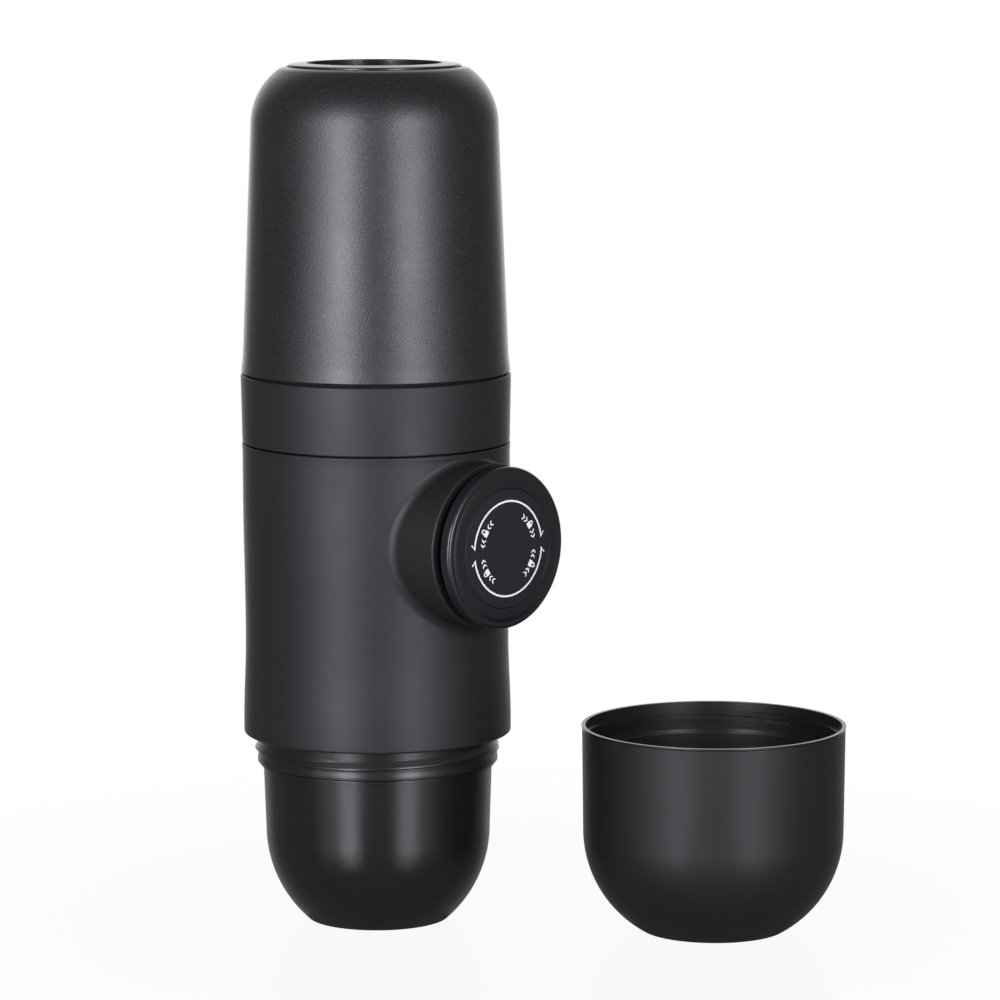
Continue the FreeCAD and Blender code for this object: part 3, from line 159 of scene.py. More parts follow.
def outline_points(section: Section, closed: bool) -> list[Point]:
    """Draw out an outline with its roundings and arcs.

    Args:
        section: the outline's corners.
        closed: whether the last corner joins the first.

    Returns:
        The points of the outline.
    """
    corners = [item if isinstance(item, Corner) else Corner(*item) for item in section]
    points: list[Point] = []
    count = len(corners)
    for index, corner in enumerate(corners):
        before, after = corners[index - 1], corners[(index + 1) % count]
        if corner.bulge:
            points += arc_points((before.r, before.z), (corner.r, corner.z), corner.bulge,
                                 corner.steps)
        elif corner.fillet and (closed or 0 < index < count - 1):
            points += rounded((before.r, before.z), corner, (after.r, after.z))
        else:
            points.append((corner.r, corner.z))
    return points


def polar(radius: float, degrees: float) -> Point:
    """Return a point at a distance and an angle from the middle."""
    return radius * math.cos(math.radians(degrees)), radius * math.sin(math.radians(degrees))


def clamped(value: float) -> float:
    """Return a share held between 0 and 1."""
    return min(max(value, 0.0), 1.0)


def eased(value: float) -> float:
    """Return a share, held between 0 and 1, with soft ends."""
    return 0.5 - 0.5 * math.cos(math.pi * clamped(value))


# ------------------------------------------------------------------ modelling by hand


class Axis(Enum):
    """The axis that a piece is turned on."""

    UPRIGHT = "device"
    PUMP = "pump"
    CUP = "cup"


def axis_matrix(axis: Axis) -> Matrix:
    """Find the place of a turning axis.

    Args:
        axis: the axis.

    Returns:
        Its place in metres, with z along the axis.
    """
    if axis is Axis.PUMP:
        turned = Matrix((ACROSS, UP, PUMP)).transposed().to_4x4()
        return Matrix.Translation(Vector((0, 0, KNOB_HEIGHT * MM))) @ turned
    if axis is Axis.CUP:
        return Matrix.Translation(CUP_PLACE * MM)
    return Matrix.Identity(4)


def select(*pieces: bpy.types.Object) -> None:
    """Select some pieces alone, so that an operator acts on nothing else.

    Args:
        pieces: the pieces, of which the first becomes the active one; none deselects all.
    """
    for item in bpy.context.view_layer.objects:
        item.select_set(item in pieces)
    bpy.context.view_layer.objects.active = pieces[0] if pieces else None


def clean(gap: float = WELD, outwards: bool = True) -> None:
    """Merge the doubles of the mesh in edit mode, and leave edit mode.

    Args:
        gap: points nearer than this are merged, in millimetres.
        outwards: whether the faces are also turned outwards.
    """
    bpy.ops.mesh.select_all(action="SELECT")
    bpy.ops.mesh.remove_doubles(threshold=gap * MM)
    if outwards:
        bpy.ops.mesh.normals_make_consistent(inside=False)
    bpy.ops.object.mode_set(mode="OBJECT")


def settle(piece: bpy.types.Object, place: Matrix) -> None:
    """Put a piece at its place and write that place into its mesh.

    Args:
        piece: the piece.
        place: where it goes, in metres.
    """
    select(piece)
    piece.matrix_world = place
    bpy.ops.object.transform_apply(location=True, rotation=True, scale=True)


def smooth(piece: bpy.types.Object, angle: float = SHARP) -> None:
    """Shade a piece smooth but for its sharp edges, with flat faces kept flat.

    Args:
        piece: the piece.
        angle: edges sharper than this stay sharp.
    """
    select(piece)
    bpy.ops.object.shade_smooth_by_angle(angle=angle)
    weighted = piece.modifiers.new("even_shading", "WEIGHTED_NORMAL")
    weighted.keep_sharp = True
    bpy.ops.object.modifier_apply(modifier=weighted.name)


def draw_line(name: str, points: Sequence[Point]) -> bpy.types.Object:
    """Draw an outline as a chain of edges in the plane of X and Z.

    Args:
        name: name of the new piece.
        points: r and z of each point, in millimetres.

    Returns:
        The new object, still in edit mode.
    """
    select()
    bpy.ops.mesh.primitive_circle_add(vertices=3, radius=MM, location=(0, 0, 0))
    piece = bpy.context.object
    piece.name = piece.data.name = name
    bpy.ops.object.mode_set(mode="EDIT")
    bpy.ops.mesh.select_all(action="SELECT")
    bpy.ops.mesh.merge(type="CENTER")
    bpy.ops.transform.translate(value=(points[0][0] * MM, 0, points[0][1] * MM))
    for before, after in zip(points, points[1:]):
        step = ((after[0] - before[0]) * MM, 0, (after[1] - before[1]) * MM)
        bpy.ops.mesh.extrude_region_move(TRANSFORM_OT_translate={"value": step})
    return piece


def spun(name: str, points: Sequence[Point], place: Matrix,
         sides: int = SIDES) -> bpy.types.Object:
    """Spin a half section once round.

    Args:
        name: name of the piece.
        points: r and z of each point of the half section, in millimetres.
        place: where the piece goes, in metres.
        sides: faces round the piece.

    Returns:
        The piece, not yet shaded.
    """
    piece = draw_line(name, points)
    bpy.ops.mesh.select_all(action="SELECT")
    bpy.ops.mesh.spin(steps=sides, angle=math.tau, center=(0, 0, 0), axis=(0, 0, 1))
    clean()
    settle(piece, place)
    return piece


def turn(name: str, section: Section, axis: Axis = Axis.UPRIGHT, closed: bool = True,
         sides: int = SIDES, angle: float = SHARP) -> bpy.types.Object:
    """Turn a piece from its half section.

    Args:
        name: name of the piece.
        section: its half section.
        axis: the axis it is turned on.
        closed: whether the last corner joins the first; otherwise both lie on the axis.
        sides: faces round the piece.
        angle: edges sharper than this stay sharp.

    Returns:
        The piece.
    """
    points = outline_points(section, closed)
    piece = spun(name, points + points[:1] if closed else points, axis_matrix(axis), sides)
    smooth(piece, angle)
    return piece


@dataclass(frozen=True)
class Thread:
    """One start of a screw thread: a ridge with run-out ends.

    Args:
        core: radius of the surface that carries the thread.
        height: how far it stands out, inwards if negative.
        lead: rise in one turn.
        sweep: length of the ridge in degrees.
        widths: width of the ridge at its root and at its crest.
        taper: length of the run-out at each end, in degrees.
        lean: where the crest sits, -1 over the root's lower edge and 1 over its upper edge.
        sink: how far the root lies under the surface.
        soft: how far the crest's edges are drawn in, as a share of the flank.
        step: degrees from one section of the ridge to the next.
    """

    core: float
    height: float
    lead: float
    sweep: float
    widths: Point
    taper: float = 14.0
    lean: float = 0.0
    sink: float = 0.25
    soft: float = 0.3
    step: float = 2.0

    def section(self) -> list[Point]:
        """Draw the ridge's closed section.

        Returns:
            Its points, r and z in millimetres.
        """
        root, crest = self.widths[0] / 2, self.widths[1] / 2
        outer = self.core + self.height
        under = self.core - math.copysign(self.sink, self.height)
        brow = outer - self.height * 0.18
        soft = (root - crest) * self.soft / 2
        middle = (root - crest) * self.lean * 0.9
        return [(under, -root), (self.core, -root),
                (brow, middle - crest - soft * (1 + self.lean)),
                (outer, middle - crest), (outer, middle + crest),
                (brow, middle + crest + soft * (1 - self.lean)),
                (self.core, root), (under, root), (under, -root)]

    def run_out(self, piece: bpy.types.Object) -> None:
        """Sink the ridge's ends into the surface.

        Args:
            piece: the ridge, wound from the X axis on.
        """
        under = self.core - math.copysign(self.sink, self.height)
        for vertex in piece.data.vertices:
            x, y, z = vertex.co
            degrees = math.degrees(math.atan2(y, x)) % 360
            if degrees > self.sweep + 1:
                degrees = 0.0
            along = min(degrees, self.sweep - degrees) / self.taper
            if along < 1:
                keep = math.sqrt(max(along, 0.0))
                reach = math.hypot(x, y) / MM
                middle = self.lead * degrees / 360 * MM
                scale = (under + (reach - under) * keep) / reach
                vertex.co = (x * scale, y * scale,
                             middle + (z - middle) * (0.25 + 0.75 * keep))

    def wind(self, name: str, azimuth: float, height: float,
             axis: Axis = Axis.UPRIGHT) -> bpy.types.Object:
        """Wind the ridge round its core.

        Args:
            name: name of the piece.
            azimuth: where it starts, in degrees from the front to the right.
            height: the height of its start.
            axis: the axis of the screw.

        Returns:
            The ridge.
        """
        piece = draw_line(name, self.section())
        clean(WELD / 2, outwards=False)
        screw = piece.modifiers.new("helix", "SCREW")
        screw.angle = math.radians(self.sweep)
        screw.screw_offset = self.lead * self.sweep / 360 * MM
        screw.steps = screw.render_steps = max(24, int(self.sweep / self.step))
        screw.use_merge_vertices = False
        select(piece)
        bpy.ops.object.modifier_apply(modifier=screw.name)
        self.run_out(piece)
        bpy.ops.object.mode_set(mode="EDIT")
        bpy.ops.mesh.select_all(action="SELECT")
        bpy.ops.mesh.remove_doubles(threshold=WELD * MM)
        bpy.ops.mesh.select_all(action="DESELECT")
        bpy.ops.mesh.select_non_manifold()
        bpy.ops.mesh.edge_face_add()
        clean()
        start = Matrix.Rotation(math.radians(azimuth - 90), 4, "Z")
        lift = Matrix.Translation(Vector((0, 0, height * MM)))
        settle(piece, axis_matrix(axis) @ lift @ start)
        smooth(piece, math.radians(40))
        return piece


def joined(name: str, pieces: Sequence[bpy.types.Object]) -> bpy.types.Object:
    """Join several meshes into the first one.

    Args:
        name: name of the whole.
        pieces: the meshes.

    Returns:
        The whole.
    """
    select(*pieces)
    bpy.ops.object.join()
    pieces[0].name = pieces[0].data.name = name
    return pieces[0]


def copy_of_solid(node: str) -> bpy.types.Object:
    """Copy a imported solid, merged and shaded smooth.

    Args:
        node: name of the solid.

    Returns:
        The copy, which can then stand for the solid.
    """
    piece = bpy.data.objects.new(f"{node}_skin", bpy.data.objects[node].data.copy())
    bpy.context.scene.collection.objects.link(piece)
    piece.data.name = piece.name
    select(piece)
    bpy.ops.object.mode_set(mode="EDIT")
    clean(outwards=False)
    smooth(piece)
    return piece


# ------------------------------------------------------------------ finishes


def linear(hex_colour: str) -> tuple[float, float, float, float]:
    """Turn an sRGB colour into the linear colour that a shader takes.

    Args:
        hex_colour: the colour, as in #1a2b3c.

    Returns:
        Red, green, blue and a full alpha.
    """
    channels = [int(hex_colour[i:i + 2], 16) / 255 for i in (1, 3, 5)]
    return (*[c / 12.92 if c <= 0.04045 else ((c + 0.055) / 1.055) ** 2.4
              for c in channels], 1.0)


def add_node(tree: bpy.types.NodeTree, kind: str, inputs: dict | None = None,
             **settings: object) -> bpy.types.Node:
    """Add a node with its settings, values and links.

    Args:
        tree: the tree it goes in.
        kind: Blender's name of the node type, without its prefix.
        inputs: socket name or number to a value, or to a socket or a node that feeds it. Of
            a node the first output in use is taken.
        settings: the node's own options.

    Returns:
        The node.
    """
    node = tree.nodes.new(f"ShaderNode{kind}")
    for key, value in settings.items():
        setattr(node, key, value)
    for key, value in (inputs or {}).items():
        if isinstance(value, bpy.types.Node):
            value = next(output for output in value.outputs if output.enabled)
        if isinstance(value, bpy.types.NodeSocket):
            tree.links.new(value, node.inputs[key])
        else:
            node.inputs[key].default_value = value
    return node


def new_material(name: str) -> tuple[bpy.types.Material, bpy.types.NodeTree]:
    """Start a node material.

    Args:
        name: its name.

    Returns:
        The material and its empty tree.
    """
    material = bpy.data.materials.new(name)
    material.use_nodes = True
    material.node_tree.nodes.clear()
    return material, material.node_tree


@dataclass(frozen=True)
class MouldedPlastic:
    """Injection-moulded plastic, from spark-eroded satin to polished gloss.

    The pigment is even, so the eye reads it by its sheen: a fine pebble grain breaks the
    highlight up, broad faint clouds in the sheen come from handling and mould flow.
    """

    name: str
    slot: str              # the record's material slot
    colour: str            # sRGB, of the pigment
    shade: str             # sRGB, of the slightly darker clouds
    roughness: float
    sheen_drift: float     # how much the roughness drifts over a few centimetres
    grain_mm: float        # size of a grain
    grain_depth: float     # strength of the grain's bump
    ior: float = 1.5
    specular: float = 0.5
    speckle: float = 0.0   # lighter flecks on the tips of the grain
    grazing: float = 0.5   # how much smoother the grain looks along the surface
    fleck: str = "#55565a"  # sRGB, of the flecks
    clouds: float = 55.0   # of them in a metre: one is 18 mm across

    def make(self) -> bpy.types.Material:
        """Build the material.

        Returns:
            The material.
        """
        material, tree = new_material(self.name)
        place = add_node(tree, "TexCoord").outputs["Object"]
        grain = add_node(tree, "TexNoise", {
            "Vector": place, "Scale": 1 / (self.grain_mm * MM), "Detail": 2.0,
            "Roughness": 0.55})
        clouds = add_node(tree, "TexNoise", {
            "Vector": place, "Scale": self.clouds, "Detail": 3.0, "Roughness": 0.5})
        colour = add_node(tree, "Mix", {
            "Factor": clouds, "A": linear(self.colour), "B": linear(self.shade)},
            data_type="RGBA")
        if self.speckle:
            tips = add_node(tree, "MapRange", {
                "Value": grain, "From Min": 0.56, "From Max": 0.74, "To Min": 0.0,
                "To Max": self.speckle})
            colour = add_node(tree, "Mix", {
                "Factor": tips, "A": colour, "B": linear(self.fleck)}, data_type="RGBA")
        sheen = add_node(tree, "MapRange", {
            "Value": clouds, "From Min": 0.3, "From Max": 0.7,
            "To Min": self.roughness - self.sheen_drift,
            "To Max": self.roughness + self.sheen_drift})
        if self.grazing:
            edge = add_node(tree, "MapRange", {
                "Value": add_node(tree, "LayerWeight").outputs["Facing"], "From Min": 0.6,
                "From Max": 0.97, "To Min": 1.0, "To Max": 1.0 - self.grazing},
                interpolation_type="SMOOTHSTEP")
            sheen = add_node(tree, "Math", {0: sheen, 1: edge}, operation="MULTIPLY")
        bump = add_node(tree, "Bump", {
            "Height": grain, "Strength": self.grain_depth,
            "Distance": self.grain_mm * MM * 0.5})
        shader = add_node(tree, "BsdfPrincipled", {
            "Base Color": colour, "Roughness": sheen, "Normal": bump, "IOR": self.ior,
            "Specular IOR Level": self.specular})
        add_node(tree, "OutputMaterial", {"Surface": shader})
        return material


@dataclass(frozen=True)
class StainlessSteel:
    """Drawn or turned stainless steel: fine lines that stretch the highlight."""

    name: str
    slot: str
    colour: str = "#c9c7c3"
    shade: str = "#aaa8a6"
    roughness: float = 0.26
    line_mm: float = 0.35
    clouds: float = 120.0  # of them in a metre: one is 8 mm across

    def make(self) -> bpy.types.Material:
        """Build the material.

        Returns:
            The material.
        """
        material, tree = new_material(self.name)
        place = add_node(tree, "TexCoord").outputs["Object"]
        lines = add_node(tree, "TexNoise", {
            "Vector": place, "Scale": 1 / (self.line_mm * MM), "Detail": 3.0})
        clouds = add_node(tree, "TexNoise", {
            "Vector": place, "Scale": self.clouds, "Detail": 2.0})
        tint = add_node(tree, "Mix", {
            "Factor": clouds, "A": linear(self.colour), "B": linear(self.shade)},
            data_type="RGBA")
        sheen = add_node(tree, "MapRange", {
            "Value": lines, "To Min": self.roughness - 0.07,
            "To Max": self.roughness + 0.09})
        bump = add_node(tree, "Bump", {
            "Height": lines, "Strength": 0.12, "Distance": self.line_mm * MM * 0.2})
        shader = add_node(tree, "BsdfPrincipled", {
            "Base Color": tint, "Metallic": 1.0, "Roughness": sheen, "Normal": bump})
        add_node(tree, "OutputMaterial", {"Surface": shader})
        return material


class Finish(Enum):
    """The finishes of the maker, each named for what the real one is made of."""

    # Spark-eroded ABS: dark satin with a grain of a third of a millimetre. A real
    # grain is finer, but this coarse it still shows at arm's length.
    TANK = MouldedPlastic("satin_abs_tank", "satin_black_shell", "#121214", "#0f0f11", 0.38,
                          0.035, 0.30, 0.30, ior=1.55, speckle=0.35, grazing=0.65)
    # The band and the grip come from a duller mould than the tank.
    GRIP = MouldedPlastic("matt_abs_grip", "satin_black_shell", "#1b1b1d", "#171719", 0.48,
                          0.04, 0.26, 0.22, specular=0.37, grazing=0.3)
    # The end ring and the lip round it are smoother, so they mirror the room at a flat angle.
    # Their grey is lighter than the tank's; on the lip's land, which is moulded with the tank,
    # that lighter grey is painted light.
    RING = MouldedPlastic("fine_satin_abs_ring", "satin_black_shell", "#232325", "#1e1e20",
                          0.24, 0.03, 0.5, 0.06)
    # Polished ABS, nearly black, with a slightly warm colour.
    HEAD = MouldedPlastic("polished_abs_head", "gloss_black_head", "#161413", "#131110", 0.26,
                          0.02, 1.6, 0.008, specular=0.43, grazing=0.0)
    # The neck is a little duller than the head, because the cup rubs on it.
    NECK = MouldedPlastic("worn_gloss_abs_neck", "gloss_black_head", "#1b1a1a", "#171616",
                          0.27, 0.03, 0.9, 0.012, specular=0.36, grazing=0.2)
    # The cup's outside is a smooth satin; its inside and its rim are polished, and painted a
    # lighter grey than the outside, which stands in for the light that falls into the cup.
    CUP = MouldedPlastic("satin_pp_cup", "cup_black", "#100f10", "#0d0c0d", 0.51, 0.03, 0.24,
                         0.14, specular=0.42, grazing=0.2)
    CUP_INSIDE = MouldedPlastic("polished_pp_cup_inside", "cup_black", "#1a1a1b", "#161617",
                                0.30, 0.02, 1.4, 0.02, ior=1.6, specular=0.5)
    # The knob's crown is smoother than its face, which is matt so that the print reads well.
    KNOB = MouldedPlastic("satin_abs_knob", "satin_black_shell", "#16171a", "#131416", 0.29,
                          0.03, 0.22, 0.10)
    KNOB_FACE = MouldedPlastic("matt_abs_knob_face", "knob_face_print", "#17191d", "#14161a",
                               0.46, 0.03, 0.20, 0.14, specular=0.4)
    # Glass-filled nylon of the parts inside: dull grey-black with a dry surface.
    NYLON = MouldedPlastic("glass_filled_nylon", "inner_dark_plastic", "#2c2c2e", "#242426",
                           0.55, 0.05, 0.45, 0.3, speckle=0.25)
    # Copolyester of the tank's liner: smooth and clear grey, wet to the eye.
    LINER = MouldedPlastic("copolyester_liner", "tank_liner_plastic", "#4a4b4e", "#434447",
                           0.22, 0.04, 1.2, 0.05)
    # Silicone: soft black, no clear highlight.
    SILICONE = MouldedPlastic("black_silicone", "soft_seal", "#0f0f0f", "#0b0b0b", 0.68, 0.04,
                              0.35, 0.12, ior=1.41, specular=0.25)
    # Screen-printed ink: opaque, matt, a hair uneven where it is thin.
    INK = MouldedPlastic("white_screen_ink", "knob_face_print", "#e9e9ea", "#dcdcde", 0.55,
                         0.03, 0.18, 0.1)
    STEEL = StainlessSteel("brushed_stainless", "stainless")


_made: dict[str, bpy.types.Material] = {}


def material_of(finish: Finish) -> bpy.types.Material:
    """Find the material of a finish, which is built once.

    Args:
        finish: the finish.

    Returns:
        Its material.
    """
    if finish.name not in _made:
        _made[finish.name] = finish.value.make()
    return _made[finish.name]


def dress(piece: bpy.types.Object, finish: Finish, body: str,
          *nodes: str) -> bpy.types.Object:
    """Give a piece its finish, hang it on its body and hide the solids it stands for.

    Args:
        piece: the piece.
        finish: its finish.
        body: the body it rides on.
        nodes: the solids it stands for.

    Returns:
        The piece.
    """
    piece.data.materials.clear()
    piece.data.materials.append(material_of(finish))
    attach(piece, body)
    if nodes:
        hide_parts(*nodes)
    log.info("%s rides on %s, %d faces", piece.name, body, len(piece.data.polygons))
    return piece


def refinish(piece: bpy.types.Object, finish: Finish,
             chosen: Callable[[Vector, Vector], bool]) -> None:
    """Give some faces of a dressed piece a second finish.

    Args:
        piece: the dressed piece.
        finish: the second finish.
        chosen: tells from a face's middle, in millimetres, and its normal.
    """
    piece.data.materials.append(material_of(finish))
    for face in piece.data.polygons:
        if chosen(face.center / MM, face.normal):
            face.material_index = 1


# ------------------------------------------------------------------ water tank


@dataclass
class WaterTank:
    """Tall tapered tank with its end ring, air valve, liner and seal."""

    bottom: float = 124.5
    radius: float = 29.7
    flare: float = 0.4
    flare_height: float = 3.4
    shoulder_radius: float = 27.6
    shoulder: float = 179.4
    shoulder_round: float = 15.3
    mouth: float = 19.4
    wall: float = 2.1
    seat: float = 1.9              # from the lip down to the end ring's seat
    seat_bottom: float = 3.4
    ring_bore: float = 15.1
    ring_wall: float = 1.5
    ring_edge: float = 0.3
    recess: float = 7.0
    land: float = 20.95            # where the shoulder turns into the lip's own land
    lip: float = field(init=False)
    land_height: float = field(init=False)

    def __post_init__(self) -> None:
        """Work out the height of the tank's lip and of its land."""
        centre = self.shoulder_radius - self.shoulder_round
        self.lip, self.land_height = (
            self.shoulder + math.sqrt(self.shoulder_round ** 2 - (r - centre) ** 2)
            for r in (self.mouth, self.land))

    def build_shell(self) -> bpy.types.Object:
        """Turn the tank's outer wall.

        Returns:
            The wall.
        """
        inside = self.shoulder_round - self.wall
        low = self.lip - self.seat_bottom
        centre = self.shoulder_radius - self.shoulder_round
        inner = centre + math.sqrt(inside ** 2 - (low - self.shoulder) ** 2)
        bore = self.radius - self.wall
        flared = self.bottom + self.flare_height
        return turn("tank_shell_skin", [
            (bore, self.bottom),
            Corner(self.radius + self.flare * 0.5, self.bottom, fillet=0.12),
            Corner(self.radius + self.flare, self.bottom + self.flare * 0.6, fillet=0.25),
            Corner(self.radius + 0.02, flared, fillet=6.0),
            (self.shoulder_radius, self.shoulder),
            Corner(self.land, self.land_height, bulge=self.shoulder_round, steps=24),
            (self.mouth + 0.12, self.lip - 0.58),
            Corner(self.mouth, self.lip - 0.68, bulge=0.12, steps=3),
            (self.mouth, self.lip - self.seat), (self.mouth - self.wall, self.lip - self.seat),
            (self.mouth - self.wall, low), (inner, low),
            Corner(self.shoulder_radius - self.wall, self.shoulder, bulge=-inside, steps=20),
            (bore, flared),
        ], angle=math.radians(40))

    def on_land(self, middle: Vector, normal: Vector) -> bool:
        """Tell whether a face lies on the lip's land."""
        return middle.to_2d().length < self.land and normal.z > 0.5 and middle.z > self.shoulder

    def build_ring(self) -> bpy.types.Object:
        """Turn the ring in the tank's end.

        Returns:
            The ring.
        """
        outer, inner = self.mouth - 0.25, self.ring_bore
        floor, seat = self.lip - self.recess, self.lip - self.seat
        skirt, edge = self.ring_bore + self.ring_wall, self.ring_edge
        return turn("tank_end_ring_skin", [
            (inner, floor), (skirt, floor), (skirt, seat), (outer - 0.4, seat),
            (outer - 0.4, self.lip - 0.48), (outer, self.lip - 0.44), (outer, self.lip - 0.36),
            Corner(outer - edge, self.lip - 0.06, bulge=edge, steps=5),
            Corner(inner + edge, self.lip + 0.24, bulge=60.0, steps=6),
            Corner(inner, self.lip - 0.05, bulge=edge, steps=6),
        ])

    def build_valve(self) -> bpy.types.Object:
        """Turn the mushroom valve in the recess.

        Returns:
            The valve.
        """
        top = self.lip - self.recess
        return turn("air_valve_skin", [
            (0, top - 3.4), Corner(1.2, top - 3.4, fillet=0.5),
            Corner(2.1, top - 2.45, fillet=0.3), (2.1, top - 2.0), (1.5, top - 2.0),
            (1.5, top), (4.2, top), Corner(3.9, top + 0.55, bulge=0.9, steps=5),
            Corner(0, top + 0.99, bulge=17.0, steps=8),
        ], closed=False, sides=SIDES // 2)

    def build(self) -> None:
        """Build and dress the tank."""
        shell = dress(self.build_shell(), Finish.TANK, "water_tank", "tank_shell")
        # The land takes the ring's lighter grey: painted light on the tank's top.
        refinish(shell, Finish.RING, self.on_land)
        dress(self.build_ring(), Finish.RING, "water_tank", "tank_end_ring")
        dress(self.build_valve(), Finish.SILICONE, "water_tank", "air_valve")
        dress(copy_of_solid("tank_liner"), Finish.LINER, "water_tank", "tank_liner")
        dress(copy_of_solid("tank_gasket"), Finish.SILICONE, "tank_seal", "tank_gasket")


# ------------------------------------------------------------------ collar band


@dataclass
class CollarBand:
    """Band between grip and tank, with the water floor and the tank's threaded neck."""

    spigot_end: float = 103.0
    floor: float = 107.0
    bottom: float = 108.6
    ledge: float = 121.5
    top: float = 124.0
    neck_end: float = 131.5
    radius: float = 29.95
    top_radius: float = 30.25
    spigot_radius: float = 27.6
    spigot_bore: float = 25.35
    neck_radius: float = 22.0
    neck_bore: float = 19.0
    groove: float = 0.3
    groove_depth: float = 1.4

    def build_band(self) -> bpy.types.Object:
        """Turn the band and everything moulded with it.

        Returns:
            The band.
        """
        groove_top = self.bottom + self.groove
        return turn("collar_band_skin", [
            (0, self.spigot_end), (self.neck_radius, self.spigot_end),
            (self.neck_radius, self.ledge), (self.spigot_bore, self.ledge),
            (self.spigot_bore, self.spigot_end), (self.spigot_radius, self.spigot_end),
            (self.spigot_radius, self.bottom), (self.radius - self.groove_depth, self.bottom),
            (self.radius - self.groove_depth, groove_top),
            Corner(self.radius, groove_top, fillet=0.08),
            Corner(self.top_radius, self.top, fillet=0.55), (self.neck_radius, self.top),
            Corner(self.neck_radius, self.neck_end, fillet=0.4),
            Corner(self.neck_bore, self.neck_end, fillet=0.2),
            Corner(self.neck_bore, self.floor, fillet=1.0), (0, self.floor),
        ], closed=False)

    def build(self) -> None:
        """Build and dress the band and its thread."""
        dress(self.build_band(), Finish.GRIP, "maker_body", "collar_band")
        thread = Thread(self.neck_radius, JOINT_RIDGE, JOINT_LEAD, 345, JOINT_WIDTHS)
        dress(thread.wind("collar_neck_thread", 20, 125.6), Finish.GRIP, "maker_body")


# ------------------------------------------------------------------ grip body with its boss


class BossPart(Enum):
    """The stretches of the boss, in the order in which they grow, and their rings."""

    WALL = ("along the shell to the fillet", 7)
    FILLET = ("up the fillet to the side", 10)
    SIDE = ("out along the side", 5)
    RIM = ("round the rim's outer edge", 4)
    CHAMFER = ("over the rim's inner edge", 2)
    BORE = ("back down the bore", 4)
    LINING = ("along the inside to the border", 5)

    def shares(self) -> list[float]:
        """Return how far along the stretch each of its rings lies."""
        return [(step + 1) / self.value[1] for step in range(self.value[1])]


